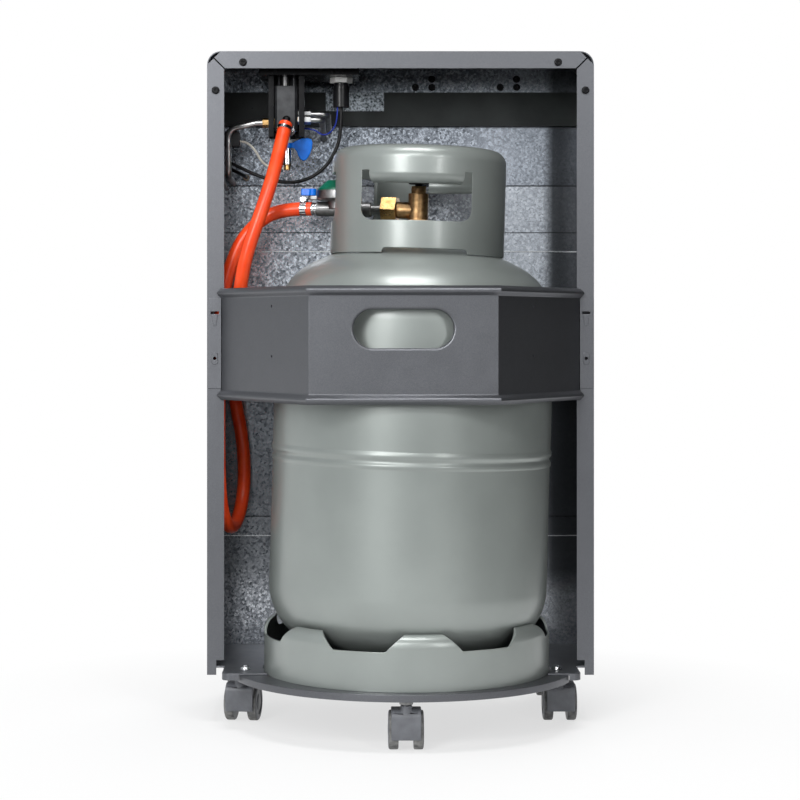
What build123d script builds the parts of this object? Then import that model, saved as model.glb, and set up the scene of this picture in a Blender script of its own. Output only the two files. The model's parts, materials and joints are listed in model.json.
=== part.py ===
from build123d import *
import os
from math import atan2, cos, pi, radians, sin, sqrt, tan

# A gas cabinet heater on castors. Millimetres, Z up, floor at Z 0.
# X runs to the right and Y away from someone who stands behind the heater and looks into its open back.
# Depths are first counted from the outside of the rear flanges; the whole model is then shifted by
# centre_shift, so that the origin lies on the floor under the middle of the heater.

# ---------------------------------------------------------------- cabinet
cabinet_width = 420
cabinet_top = 730
cabinet_depth = 205
skirt_bottom = 53
sheet = 1.0
corner_radius = 15
rear_flange = 18.5
front_flange = 10
mitre_slit = 1.5
notch_width = 8.5
notch_height = 16
screw_side_drop = 42.5
screw_top_inset = 39
screw_top_drop = 12
screw_head_radius = 4.2
screw_head_height = 2.4
screw_shank = 7
hook_slot_width = 10
hook_slot_height = 12
hook_slot_bottom = 440
hook_offset = 8.5
flange_hole_radius = 1.7
flange_hole_height = 396.6
left_wall = -cabinet_width / 2

# ---------------------------------------------------------------- partition behind the burners
wall_depth = cabinet_depth - 44
wall_sheet = 0.8
wall_joint_height = 595
wall_overlap = 12
rib_height = 22
rib_relief = 3
rib_levels = [200, 529]
rib_end_gap = 6
baffle_bottom = 663
baffle_projection = 10
rail_bottom = 702
rail_depth = wall_depth - 9
rail_return = 22
rail_screw_columns = (20, 118)
rail_screw_step = 19
rail_screw_rows = (6, 15.5)

# ---------------------------------------------------------------- floor of the cabinet
shelf_top = 60.5
plate = 2
shelf_lip = 5.5
shelf_radius = 186
shelf_centre_x = 3
shelf_reach = 172
shelf_wide_half = cabinet_width / 2 - 32
shelf_narrow_half = shelf_wide_half - 20
shelf_step_depth = -14
shelf_front = cabinet_depth - 55
shelf_gap = 0.5
ear_half = cabinet_width / 2 - 19
ear_reach = 50
ear_corner = 8
ear_fold_x = ear_half - 20
base_margin = 1.5
shelf_screw_x = shelf_wide_half - 10.5
shelf_screw_depth = shelf_step_depth - 7
shelf_screw_head = 4.8
shelf_screw_washer = 6.2
shelf_screw_shank = 2.1

# ---------------------------------------------------------------- castors
wheel_radius = 20
wheel_width = 10.8
wheel_gap = 15.4
castor_trail = 16
hood_wall = 2.4
hood_clearance = 0.8
hood_width = 30.4
hood_corner = 9
hood_low_angle = 199
hood_front_angle = 35
web_width = 14
neck_radius = 6
neck_top = 47.6
boss_radius = 7.5
axle_radius = 3
stem_radius = 4
socket_radius = 7
socket_bottom = 48.5
running_gap = 0.05
castor_side_x = cabinet_width / 2 - 35.5
castor_side_depth = 8
castor_side_turn = -9
castor_rear_depth = 17 - shelf_reach
castor_front_x = cabinet_width / 2 - 30
castor_front_depth = cabinet_depth - 40
castor_places = [
    (-castor_side_x, castor_side_depth, castor_side_turn),
    (shelf_centre_x, castor_rear_depth, 0),
    (castor_side_x, castor_side_depth, 0),
    (-castor_front_x, castor_front_depth, 0),
    (castor_front_x, castor_front_depth, 0),
]

# ---------------------------------------------------------------- retaining band
band_sheet = 1.2
band_reach = 168
band_start_x = cabinet_width / 2 - 16
band_fold_x = band_start_x - 99
band_bottom = 362
band_top = 462
bead_height = 10.6
bead_depth = 5
tab_edge_gap = 1
tab_gap = 0.2
grip_width = 101
grip_height = 39
grip_level = 428.5
grip_lip = 4.5
facet_hole_radius = 1.6
hook_width = 5
hook_plate = 2.2
hook_drop = 10.4
tab_slot_width = 8.7
tab_slot_height = 2.8
tab_tongue_drop = 12
tab_boss_width = 6.5
tab_boss_height = 14
tab_press = 0.8

# ---------------------------------------------------------------- gas bottle
bottle_x = 6.5
bottle_depth = -5
bottle_lean = 1.6
lean_height = 110
bottle_radius = 150
bottle_wall = 3
knuckle_radius = 67
crown_radius = 240
lower_head_height = 152
upper_head_height = 437
seam_height = 293
seam_relief = 1.2
foot_radius = 154
foot_wall = 2.5
foot_shoulder_height = 104
foot_height = 57.5
foot_notches = 7
foot_notch_bottom = 101
foot_notch_angle = 33
foot_notch_slope = 6
first_notch_angle = -20
collar_radius = 94
collar_wall = 3
collar_top = 622
collar_curl = 15
window_low = 541.6
window_high = 594
window_half_angle = 38
window_angles = (-3, 139, 249)
window_corner = 12
tongue_half_angle = 32.5
tongue_curl = 12
tongue_drop = 2
drain_width = 90
drain_height = 5
drain_angle = 4
weld_gap = 0.3
foot_slack = 1.3
neck_ring_radius = 19
neck_ring_height = 9
valve_thread_radius = 12.5

# ---------------------------------------------------------------- bottle valve and regulator
valve_body_radius = 10.85
valve_hex = 30
valve_hex_height = 12
outlet_height = 557
outlet_turn = 13.5
outlet_radius = 9
outlet_length = 22.5
valve_top = 575
gland_radius = 8
gland_top = 583
handwheel_radius = 27
handwheel_height = 20
spindle_radius = 4
nut_across = 27
nut_length = 16.8
spigot_radius = 5.2
regulator_reach = 89
regulator_radius = 24
regulator_low = 566
regulator_split = 577
regulator_top = 588
cap_top_radius = 13
tail_radius = 7
tail_start = 113
tail_end = 119
tail_barb = 20
lever_reach = 118.5
lever_low = 571.5
lever_high = 579
lever_length = 13

# ---------------------------------------------------------------- hose, cable and leads
# Corner points chosen by hand: distance from the cabinet's left side, depth and height.
hose_diameter = 15
hose_bore = 8
hose_deep = wall_depth - 15
hose_start = (84.5, 22, 653.5)
hose_route = [
    (75.5, -1, 607), (60, -12, 556), (43, -12, 510), (35, -3, 466), (29, 33, 425), (23, 86, 390),
    (22, hose_deep - 20, 350), (31, hose_deep, 300), (33, hose_deep, 247), (26.9, hose_deep - 39.7, 207),
    (18.2, 50.2, 207), (12, 10.5, 247), (11.5, 12, 353), (12, 25, 455), (28.5, 33, 515.5), (51.5, 33.5, 546),
]
hose_last_run = 33
clamp_width = 7
clamp_inset = 9
upper_clamp_width = 4
upper_clamp_inset = 7
cable_diameter = 4
cable_route = [
    (145, 60, 675), (145, 60, 652), (141, 62, 630), (126, 64, 606), (102, 65, 592.5), (76, 65, 592),
    (50, 66, 600), (26, 70, 612), (13, 88, 618), (16, wall_depth - 47, 612), (34, wall_depth - 29, 604),
    (34, wall_depth - 9, 604),
]
lead_diameter = 2.6
lead_route = [(32, 66, 638), (44, 66, 638), (62, 57, 604), (81.6, 53, 607)]
earth_diameter = 1.6
earth_route = [
    (141, 55, 675), (141, 55, 661), (135, 53, 647),
    (124, 54, 643), (115, 56, 651), (104.6, 56, 651),
]

# ---------------------------------------------------------------- controls
tray_x = (left_wall + 55, left_wall + 165)
tray_depth = (30, 95)
tray_floor = 708
tray_rim = 8
bracket_x = (left_wall + 65, left_wall + 104.6)
bracket_depth = (38, 67)
bracket_bottom = 640.5
bracket_lip = 6
bracket_sheet = 1.2
valve_x = (left_wall + 71.5, left_wall + 97)
valve_depth = (38.5, 62)
valve_z = (648, 697)
post_radius = 3
post_x = (left_wall + 75.5, left_wall + 93)
knob_x = left_wall + 83
knob_depth = 52
knob_radius = 19
knob_low = 712.2
knob_high = 727
igniter_x = left_wall + 145
igniter_depth = 60
igniter_radius = 9
igniter_low = 675
igniter_high = 699
igniter_neck_radius = 8
igniter_nut_across = 22
button_radius = 6.5
button_top = 725
button_travel = 7
elbow_length = 5
elbow_radius = 4.6
tap_x = left_wall + 85.2
tap_depth = 53
tap_radius = 4.8
tap_low = 610
tap_high = 629
tap_foot_radius = 3.6
tap_foot_low = 604.7
tap_stub_radius = 3.2
tap_ring_radius = 5.5
paddle_width = 19
paddle_height = 24.5
paddle_reach = 19.2
paddle_height_mid = 626.7
paddle_plate = 3

# ---------------------------------------------------------------- gas pipes
pipe_diameter = 7
pilot_pipe_diameter = 4
pipe_bend = 12
pipe_hole_gap = 0.4
pipe_nut_across = 9.5
pipe_nut_length = 7
left_pipe = (50, 657)
left_pipe_x = left_wall + 19.5
left_pipe_sag = (56, 650.5)
left_pipe_foot = (60, 598)
right_pipes = [(46, 660), (55.5, 667)]
right_pipe_x = [left_wall + 124, left_wall + 130]
pipe_run_heights = (652, 650, 658)
manifold_depth = wall_depth + 11.5

# ---------------------------------------------------------------- front of the heater
opening_half = 168
opening_z = (420, 668)
panel_top = 374.5
front_sheet = 1.0
louvre_rows = 8
louvre_columns = 2
louvre_width = 130
louvre_height = 6
louvre_pitch = 26
louvre_low = 120
louvre_hood = 4
vent_count = 12
vent_width = 18
vent_height = 5
vent_pitch = 25
vent_level = 697
plaque_width = 95
plaque_height = 150
plaque_thickness = 12
plaque_spacing = 105
plaque_level = 545
plaque_back = wall_depth + 22
plenum_back = wall_depth + 2.5
plenum_inset = 2
plenum_sheet = 1
venturi_radius = 6.5
venturi_bore = 2.5
venturi_top = 640
reflector_back = plaque_back + 4
guard_base = cabinet_depth + 3
guard_bow = 14
guard_frame_diameter = 4
guard_wire_diameter = 2.6
guard_wires = 12
guard_half = 175
guard_z = (411, 677)
guard_foot = 12
electrode_x = left_wall + 34
electrode_height = 604
electrode_radius = 3.5
pilot_height = 592
pilot_depth = reflector_back + 5
pilot_start = (left_wall + 11, 67, 632)

rear_reach = shelf_reach
front_reach = guard_base + guard_bow + guard_wire_diameter / 2
centre_shift = (rear_reach - front_reach) / 2
inner_half = cabinet_width / 2 - sheet
inner_top = cabinet_top - sheet
base_top = shelf_top + plate
plaque_columns = [plaque_spacing * step for step in (-1, 0, 1)]


# ---------------------------------------------------------------- helpers
def slab(sketch, near, far):
    """A sketch drawn in X and Z, as a solid from depth near to depth far."""
    return extrude(Pos(0, near, 0) * (Plane.XZ * sketch), far - near, dir=(0, 1, 0))


def layer(sketch, low, high):
    """A sketch drawn in X and Y, as a solid from height low to height high."""
    return extrude(Pos(0, 0, low) * sketch, high - low, dir=(0, 0, 1))


def beam(sketch, left, right):
    """A sketch drawn in Y and Z, as a solid from x = left to x = right."""
    return extrude(Pos(left, 0, 0) * (Plane.YZ * sketch), right - left, dir=(1, 0, 0))


def block(x_range, y_range, z_range):
    """A box between three pairs of limits."""
    spans = (x_range, y_range, z_range)
    middle = [(low + high) / 2 for low, high in spans]
    return Pos(*middle) * Box(*[high - low for low, high in spans])


def polygon(*points):
    """A flat face inside a closed run of straight lines."""
    return make_face(Polyline(*points, close=True))


def rod(start, end, radius):
    """A round bar between two points."""
    start, end = Vector(start), Vector(end)
    bar = Cylinder(radius, (end - start).length, align=(Align.CENTER, Align.CENTER, Align.MIN))
    return Plane(origin=start, z_dir=end - start) * bar


def hex_bar(start, end, across):
    """A six-sided bar between two points."""
    start, end = Vector(start), Vector(end)
    section = RegularPolygon(across / 2, 6, major_radius=False)
    return Plane(origin=start, z_dir=end - start) * extrude(section, (end - start).length)


def tube_run(points, outer, bore=0):
    """A round tube on straight runs joined by arcs as large as the runs allow; also its path and radii."""
    corners = [Vector(point) for point in points]
    radii = []
    for before, corner, after in zip(corners, corners[1:], corners[2:]):
        turn = radians((corner - before).get_angle(after - corner))
        shorter = min((corner - before).length, (after - corner).length)
        radii.append(0.45 * shorter / tan(turn / 2))
    path = FilletPolyline(*corners, radius=radii) if radii else Line(*corners)
    section = Circle(outer / 2)
    if bore:
        section -= Circle(bore / 2)
    start = Plane(origin=corners[0], z_dir=corners[1] - corners[0])
    return sweep(start * section, path=path), path, radii


def report_cord(name, solid, path, radii, outer, bore=0):
    """Print what a cord's tube measures."""
    expected = pi / 4 * (outer**2 - bore**2) * path.length
    share = solid.volume / expected
    print(f"{name}: length {path.length:.0f} mm, volume {share:.4f} of section times length")
    print(f"{name}: smallest radius {min(radii):.1f}, radii", [round(radius) for radius in radii])


def pan_screw(head_radius, head_height, shank_radius, shank_length):
    """A cross-head screw along Y, with its head towards -Y and the seat of the head at Y 0."""
    head = Cylinder(head_radius, head_height, align=(Align.CENTER, Align.CENTER, Align.MIN))
    head = fillet(head.edges().group_by(Axis.Z)[-1], head_height * 0.6)
    recess = Box(head_radius * 1.1, head_radius * 0.28, head_height)
    recess += Rot(0, 0, 90) * recess
    head -= Pos(0, 0, head_height) * recess
    shank = Pos(0, 0, -shank_length / 2) * Cylinder(shank_radius, shank_length)
    return Rot(90, 0, 0) * (head + shank)


def both_sides(solid):
    """The solid and its mirror image across the middle of the cabinet."""
    return solid + mirror(solid, about=Plane.YZ)


def from_left(route):
    """Corner points whose first figure is a distance from the cabinet's left side."""
    return [(left_wall + distance, depth, height) for distance, depth, height in route]


# ---------------------------------------------------------------- cabinet
def cabinet_outline(inset):
    """The cabinet's arch seen from behind, drawn in by inset on the sides and the top."""
    half = cabinet_width / 2 - inset
    top = cabinet_top - inset
    face = Pos(0, (skirt_bottom + top) / 2) * Rectangle(2 * half, top - skirt_bottom)
    return fillet(face.vertices().group_by(Axis.Y)[-1], max(corner_radius - inset, 1))


def flange_face(width):
    """A flange of the given width along the inside of the arch."""
    opening_half_width = cabinet_width / 2 - width
    opening_top = cabinet_top - width
    opening = Rectangle(2 * opening_half_width, opening_top - skirt_bottom)
    return cabinet_outline(0) - Pos(0, (skirt_bottom + opening_top) / 2) * opening


def shell_screw_places():
    """X and Z of the screws in the rear flanges."""
    edge = rear_flange / 2
    side = (cabinet_width / 2 - edge, cabinet_top - screw_side_drop)
    above = (cabinet_width / 2 - screw_top_inset, cabinet_top - screw_top_drop)
    return [(sign * x, z) for sign in (-1, 1) for x, z in (side, above)]


def make_cabinet_shell():
    shell = slab(cabinet_outline(0) - cabinet_outline(sheet), 0, cabinet_depth)
    shell += slab(flange_face(rear_flange), 0, sheet)
    shell += slab(flange_face(front_flange), cabinet_depth - sheet, cabinet_depth)
    half, top = cabinet_width / 2, cabinet_top
    triangle = polygon((half, top - corner_radius), (half - corner_radius, top), (half, top))
    relief = slab(cabinet_outline(sheet) & triangle, 0, sheet)
    slit_length = sqrt(2) * rear_flange + 4 * mitre_slit
    slit = Rot(0, 0, 45) * Rectangle(slit_length, mitre_slit)
    slit = Pos(half - rear_flange / 2, top - rear_flange / 2) * slit
    slit = slab(slit & cabinet_outline(sheet), 0, sheet)
    notch_x = half - rear_flange
    notch = block((notch_x, notch_x + notch_width), (0, sheet), (skirt_bottom, skirt_bottom + notch_height))
    slot_x = half - hook_offset
    slot_z = hook_slot_bottom + hook_slot_height / 2
    slot = Pos(slot_x, sheet / 2, slot_z) * Box(hook_slot_width, sheet, hook_slot_height)
    hole = rod((slot_x, 0, flange_hole_height), (slot_x, sheet, flange_hole_height), flange_hole_radius)
    shell -= both_sides(relief + slit + notch + slot + hole)
    for x, z in shell_screw_places():
        shell -= rod((x, 0, z), (x, sheet, z), flange_hole_radius)
    shell -= block(tray_x, tray_depth, (inner_top, cabinet_top))
    return shell


def rail_screw_places():
    """X and Z of the screws in the top rail: two groups of three."""
    low, high = [rail_bottom + step for step in rail_screw_rows]
    corners = ((0, low), (rail_screw_step, low), (rail_screw_step, high))
    return [(x + step, z) for x in rail_screw_columns for step, z in corners]


def make_black_screws():
    screw = pan_screw(screw_head_radius, screw_head_height, flange_hole_radius - 0.1, screw_shank)
    screws = [Pos(x, 0, z) * screw for x, z in shell_screw_places()]
    screws += [Pos(x, rail_depth, z) * screw for x, z in rail_screw_places()]
    return Compound(screws)


# ---------------------------------------------------------------- partition
def wall_holes():
    """X, Z and radius of the holes through the wall's sheets."""
    pipe_hole = pipe_diameter / 2 + pipe_hole_gap
    holes = [(left_pipe_x, left_pipe_foot[1], pipe_hole)]
    holes += [(x, height, pipe_hole) for x, height in zip(right_pipe_x, pipe_run_heights[1:])]
    holes.append((electrode_x, electrode_height, electrode_radius + pipe_hole_gap))
    holes.append((pilot_route()[2][0], pilot_route()[2][2], pilot_pipe_diameter / 2 + pipe_hole_gap))
    return holes


def make_inner_wall():
    top = wall_joint_height + wall_overlap
    wall = block((-inner_half, inner_half), (wall_depth, wall_depth + wall_sheet), (base_top, top))
    rib = SlotOverall(2 * (inner_half - rib_end_gap), rib_height)
    hollow = SlotOverall(2 * (inner_half - rib_end_gap - wall_sheet), rib_height - 2 * wall_sheet)
    for level in rib_levels:
        wall += slab(Pos(0, level) * rib, wall_depth - rib_relief, wall_depth)
        wall -= slab(Pos(0, level) * hollow, wall_depth - rib_relief + wall_sheet, wall_depth + wall_sheet)
    for x, z, radius in wall_holes():
        wall -= rod((x, wall_depth, z), (x, wall_depth + wall_sheet, z), radius)
    return wall


def make_upper_wall():
    back = wall_depth - wall_sheet
    wall = block((-inner_half, inner_half), (back, wall_depth), (wall_joint_height, rail_bottom))
    for x, z, radius in wall_holes():
        wall -= rod((x, back, z), (x, wall_depth, z), radius)
    return wall


def make_air_baffle():
    back = wall_depth - wall_sheet - baffle_projection
    seat = wall_depth - wall_sheet
    face = block((-inner_half, inner_half), (back, back + sheet), (baffle_bottom, rail_bottom))
    lower = block((-inner_half, inner_half), (back, seat), (baffle_bottom, baffle_bottom + sheet))
    upper = block((-inner_half, inner_half), (back, seat), (rail_bottom - sheet, rail_bottom))
    return face + lower + upper


def make_top_rail():
    band = Rectangle(cabinet_width, inner_top - rail_bottom)
    web = cabinet_outline(sheet) & (Pos(0, (inner_top + rail_bottom) / 2) * band)
    rail = slab(web, rail_depth, rail_depth + sheet)
    flat_half = inner_half - corner_radius
    depths = (rail_depth, rail_depth + rail_return)
    rail += block((-flat_half, flat_half), depths, (inner_top - sheet, inner_top))
    rail += block((-flat_half, flat_half), depths, (rail_bottom, rail_bottom + sheet))
    for x, z in rail_screw_places():
        rail -= rod((x, rail_depth, z), (x, rail_depth + sheet, z), flange_hole_radius)
    return rail


# ---------------------------------------------------------------- floor
def shelf_face():
    """The shelf seen from above: a round rear edge, and a narrower tongue between the front castors."""
    disc_depth = shelf_radius - shelf_reach
    disc = Pos(shelf_centre_x, disc_depth) * Circle(shelf_radius)
    wide = Rectangle(2 * shelf_wide_half, 2 * shelf_reach)
    rear = Rectangle(2 * cabinet_width, 2 * shelf_reach, align=(Align.CENTER, Align.MAX))
    tongue = Pos(0, (shelf_step_depth + shelf_front) / 2)
    tongue = tongue * Rectangle(2 * shelf_narrow_half, shelf_front - shelf_step_depth)
    return (disc & wide & (Pos(0, shelf_step_depth) * rear)) + tongue


def make_cylinder_shelf():
    face = shelf_face()
    low = shelf_top - plate
    shelf = layer(face, low, shelf_top)
    inner = offset(face, -plate)
    lip_zone = Pos(0, shelf_step_depth - 8) * Rectangle(
        2 * cabinet_width, 2 * shelf_reach, align=(Align.CENTER, Align.MAX)
    )
    shelf += layer((face - inner) & lip_zone, low - shelf_lip, low)
    for sign in (-1, 1):
        x = sign * shelf_screw_x
        shelf -= rod((x, shelf_screw_depth, low), (x, shelf_screw_depth, shelf_top), shelf_screw_shank + 0.1)
    return shelf


def make_base_plate():
    half = inner_half
    front = cabinet_depth - sheet - front_sheet
    face = Pos(0, (sheet + front) / 2) * Rectangle(2 * half, front - sheet)
    ear_length = ear_reach + 2 * sheet
    ear_width = ear_half - shelf_narrow_half + 30
    ear = Rectangle(ear_width, ear_length, align=(Align.MAX, Align.MIN))
    ear = fillet(ear.vertices().group_by(Axis.Y)[0].group_by(Axis.X)[-1], ear_corner)
    for turn in (0, 180):
        side = Pos(ear_half, -ear_reach) * ear
        face += side if turn == 0 else mirror(side, about=Plane.YZ)
    hole = Pos(bottle_x, bottle_depth) * Circle(foot_radius + base_margin)
    face -= hole
    base = layer(face, shelf_top, base_top)
    lip_low = shelf_top - shelf_lip
    edge = face - offset(face, -plate) - offset(shelf_face(), shelf_gap)
    width = ear_half + 1 - ear_fold_x
    for sign in (-1, 1):
        zone = Pos(sign * (ear_fold_x + width / 2), -ear_reach / 2) * Rectangle(width, ear_reach + 4)
        base += layer(edge & zone, lip_low, shelf_top)
    bore = shelf_screw_shank + 0.1
    for sign in (-1, 1):
        fold = block((half - sheet, half), (sheet, front), (skirt_bottom, shelf_top))
        base += fold if sign > 0 else mirror(fold, about=Plane.YZ)
        x = sign * shelf_screw_x
        base -= rod((x, shelf_screw_depth, shelf_top), (x, shelf_screw_depth, base_top), bore)
    return base


def make_shelf_screws():
    """Two flanged cross-head screws that hold the shelf to the base plate."""
    screw = Rot(-90, 0, 0) * pan_screw(shelf_screw_head, 3.6, shelf_screw_shank, 2 * plate + 4)
    screw += layer(Circle(shelf_screw_washer), 0, 1)
    return Compound([Pos(sign * shelf_screw_x, shelf_screw_depth, base_top) * screw for sign in (-1, 1)])


# ---------------------------------------------------------------- castors
def socket_top(place):
    """Height of the sheet that carries the castor at this place."""
    return shelf_top - plate if place[1] < shelf_step_depth else shelf_top


def castor_location(place):
    x, depth, swivel = place
    return Pos(x, depth, 0) * Rot(0, 0, swivel)


def make_castor_sockets():
    sockets = []
    for place in castor_places:
        top = socket_top(place)
        cup = layer(Circle(socket_radius) - Circle(stem_radius + running_gap), socket_bottom, top - 1)
        cup += layer(Circle(socket_radius), top - 1, top)
        sockets.append(Pos(place[0], place[1], 0) * cup)
    return Compound(sockets)


def make_castor_hood(place):
    """Hood with its middle web, the swivel stem and the axle; the wheels trail towards the front."""
    inner = wheel_radius + hood_clearance
    outer = inner + hood_wall
    centre = (castor_trail, wheel_radius)
    low, high = radians(hood_low_angle), radians(hood_front_angle)
    far = 2 * outer
    middle = (low + high) / 2
    fan = polygon(
        (0, 0),
        (far * cos(low), far * sin(low)),
        (far * cos(middle) * 1.5, far * sin(middle) * 1.5),
        (far * cos(high), far * sin(high)),
    )
    back = Pos(-outer / 2, outer / 2) * Rectangle(outer, outer)
    back = fillet(back.vertices().group_by(Axis.Y)[-1].group_by(Axis.X)[0], hood_corner)
    cover = (Circle(outer) & fan) + back
    hood = beam(Pos(*centre) * (cover - Circle(inner)), -hood_width / 2, hood_width / 2)
    hood += beam(Pos(*centre) * (cover + Circle(boss_radius)), -web_width / 2, web_width / 2)
    hood += layer(Circle(neck_radius), wheel_radius, neck_top)
    axle_reach = wheel_gap / 2 + wheel_width - 2
    axle_line = (castor_trail, wheel_radius)
    bore = rod((-far, *axle_line), (far, *axle_line), axle_radius + running_gap)
    stem_low = wheel_radius + boss_radius + axle_radius
    hood -= bore
    for sign in (-1, 1):
        hood -= rod((sign * web_width / 2, *axle_line), (sign * far, *axle_line), inner)
    hood -= layer(Circle(stem_radius + running_gap), stem_low, neck_top)
    stem = layer(Circle(stem_radius), stem_low, socket_top(place) - 1.3)
    axle = rod((-axle_reach, *axle_line), (axle_reach, *axle_line), axle_radius)
    return castor_location(place) * Compound([*hood.solids(), *stem.solids(), *axle.solids()])


def make_castor_wheels(place):
    """A pair of wheels with domed outer faces, each on its end of the axle."""
    rim = 2.5
    profile = make_face(
        Polyline((0, 0), (wheel_radius, 0), (wheel_radius, wheel_width - rim))
        + ThreePointArc(
            (wheel_radius, wheel_width - rim),
            (wheel_radius * 0.87, wheel_width - rim * 0.3),
            (wheel_radius * 0.6, wheel_width),
        )
        + Polyline((wheel_radius * 0.6, wheel_width), (0, wheel_width), (0, 0))
    )
    wheel = revolve(Plane.XZ * profile, Axis.Z)
    wheel -= layer(Circle(axle_radius + running_gap), 0, wheel_width - 1.7)
    right = Pos(wheel_gap / 2, castor_trail, wheel_radius) * (Rot(0, 90, 0) * wheel)
    left = mirror(right, about=Plane.YZ)
    return castor_location(place) * Compound([*right.solids(), *left.solids()])


# ---------------------------------------------------------------- retaining band
def make_retainer_band():
    """Bent sheet with a V bead along both edges, a rolled grip slot and a hook behind each flange."""
    inner_reach = band_reach - band_sheet
    start_depth = -tab_gap
    points = [
        (-band_start_x, start_depth),
        (-band_fold_x, -inner_reach),
        (band_fold_x, -inner_reach),
        (band_start_x, start_depth),
    ]
    run = Vector(points[1]) - Vector(points[0])
    outward = Vector(run.Y, -run.X).normalized()
    middle_run = [
        (0, band_bottom - bead_height),
        (bead_depth, band_bottom - bead_height / 2),
        (0, band_bottom),
        (0, band_top),
        (bead_depth, band_top + bead_height / 2),
        (0, band_top + bead_height),
    ]
    outer_run = [(step + band_sheet, height) for step, height in reversed(middle_run)]
    section = polygon(*middle_run, *outer_run)
    start = Plane(origin=(*points[0], 0), x_dir=outward, z_dir=-run)
    band = sweep(start * section, path=Polyline(*points), transition=Transition.RIGHT)
    grip = Pos(0, grip_level) * SlotOverall(grip_width, grip_height)
    rolled = Pos(0, grip_level) * SlotOverall(grip_width + 2 * band_sheet, grip_height + 2 * band_sheet)
    band += slab(rolled, -inner_reach, -inner_reach + grip_lip)
    band -= slab(grip, -band_reach - 1, -inner_reach + grip_lip)
    facet = Vector(points[0]) * 0.4 + Vector(points[1]) * 0.6
    for height in (band_top - 10, band_bottom + 38):
        middle = Vector(facet.X, facet.Y, height)
        hole = rod(middle - outward * 4, middle + outward * 4, facet_hole_radius)
        band -= both_sides(hole)
    tab_x = (band_start_x - 1, cabinet_width / 2 - tab_edge_gap)
    tab = block(tab_x, (-tab_gap - band_sheet, -tab_gap), (band_bottom + 2, band_top))
    hook_x = cabinet_width / 2 - hook_offset
    window_z = hook_slot_bottom + 6
    face = -tab_gap - band_sheet
    wedge = polygon(
        (-tab_slot_width * 0.4, 0),
        (tab_slot_width * 0.4, 0),
        (hook_width * 0.3, -tab_tongue_drop),
        (-hook_width * 0.3, -tab_tongue_drop),
    )
    tab += slab(Pos(hook_x, window_z - tab_slot_height / 2) * wedge, face - tab_press, face)
    boss = Rot(0, 0, 90) * SlotOverall(tab_boss_height, tab_boss_width)
    tab += slab(Pos(hook_x, flange_hole_height) * boss, face - tab_press, face)
    tab -= Pos(hook_x, face + band_sheet / 2, window_z) * Box(tab_slot_width, band_sheet, tab_slot_height)
    tab -= rod((hook_x, -4, flange_hole_height), (hook_x, 0, flange_hole_height), flange_hole_radius)
    seat = hook_slot_bottom + 0.2
    span = (hook_x - hook_width / 2, hook_x + hook_width / 2)
    behind = sheet + 0.2
    hook = block(span, (-tab_gap - band_sheet, behind + band_sheet), (seat, seat + hook_plate))
    hook += block(span, (behind, behind + band_sheet), (seat + hook_plate - hook_drop, seat + hook_plate))
    return band + both_sides(tab + hook)


# ---------------------------------------------------------------- gas bottle
def bottle_frame():
    """The bottle leans a little to the right over its foot ring."""
    return Pos(bottle_x, bottle_depth, lean_height) * Rot(0, bottle_lean, 0) * Pos(0, 0, -lean_height)


def on_bottle_axis(solid):
    return bottle_frame() * solid


def spun(face):
    """A profile drawn as radius and height, spun round the bottle's axis."""
    return on_bottle_axis(revolve(Plane.XZ * face, Axis.Z))


def crown_offset():
    """Height from the end of the straight wall to the centre of the crown's curve."""
    return sqrt((crown_radius - knuckle_radius) ** 2 - (bottle_radius - knuckle_radius) ** 2)


def crown_height(radius):
    """Height of the upper head's outside at a radius inside its crown."""
    return upper_head_height - crown_offset() + sqrt(crown_radius**2 - radius**2)


def vessel_face(inset):
    """Half section of the vessel, drawn in by inset: two dished heads and a straight wall."""
    wall = bottle_radius - inset
    knuckle = knuckle_radius - inset
    crown = crown_radius - inset
    centre_r = bottle_radius - knuckle_radius
    slope = atan2(crown_offset(), centre_r)
    lines = []
    for level, way in ((lower_head_height, -1), (upper_head_height, 1)):
        tip = (0, level + way * (crown - crown_offset()))
        joint = (centre_r + knuckle * cos(slope), level + way * knuckle * sin(slope))
        half_slope = (pi / 2 + slope) / 2
        crown_mid = (crown * cos(half_slope), level + way * (crown * sin(half_slope) - crown_offset()))
        knuckle_mid = (centre_r + knuckle * cos(slope / 2), level + way * knuckle * sin(slope / 2))
        lines += [ThreePointArc(tip, crown_mid, joint), ThreePointArc(joint, knuckle_mid, (wall, level))]
    lines.append(Line((wall, lower_head_height), (wall, upper_head_height)))
    lines.append(Line(lines[0] @ 0, lines[2] @ 0))
    return make_face(lines)


def make_cylinder_body():
    """Welded vessel with a joggled seam round its middle and the valve's ring on top."""
    ring_low = crown_height(neck_ring_radius) - 2
    ring_top = crown_height(0) + neck_ring_height
    body = vessel_face(0)
    joggle = polygon(
        (bottle_radius - 2, seam_height + 10),
        (bottle_radius, seam_height + 10),
        (bottle_radius + seam_relief, seam_height + 7),
        (bottle_radius + seam_relief, seam_height + 2.5),
        (bottle_radius - 0.2, seam_height),
        (bottle_radius + seam_relief / 2, seam_height - 2.5),
        (bottle_radius + seam_relief / 2, seam_height - 5),
        (bottle_radius, seam_height - 7),
        (bottle_radius - 2, seam_height - 7),
    )
    groove = polygon(
        (bottle_radius + 2, seam_height + 2.5),
        (bottle_radius - 0.8, seam_height + 0.5),
        (bottle_radius - 0.8, seam_height - 0.5),
        (bottle_radius + 2, seam_height - 2.5),
    )
    ring = Rectangle(neck_ring_radius, ring_top - ring_low)
    ring = Pos(neck_ring_radius / 2, (ring_low + ring_top) / 2) * ring
    bore = Pos(valve_thread_radius / 2, ring_top) * Rectangle(
        valve_thread_radius, 2 * (ring_top - crown_height(0) + 2 * bottle_wall)
    )
    return spun(body + joggle - groove + ring - vessel_face(bottle_wall) - bore)


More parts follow.
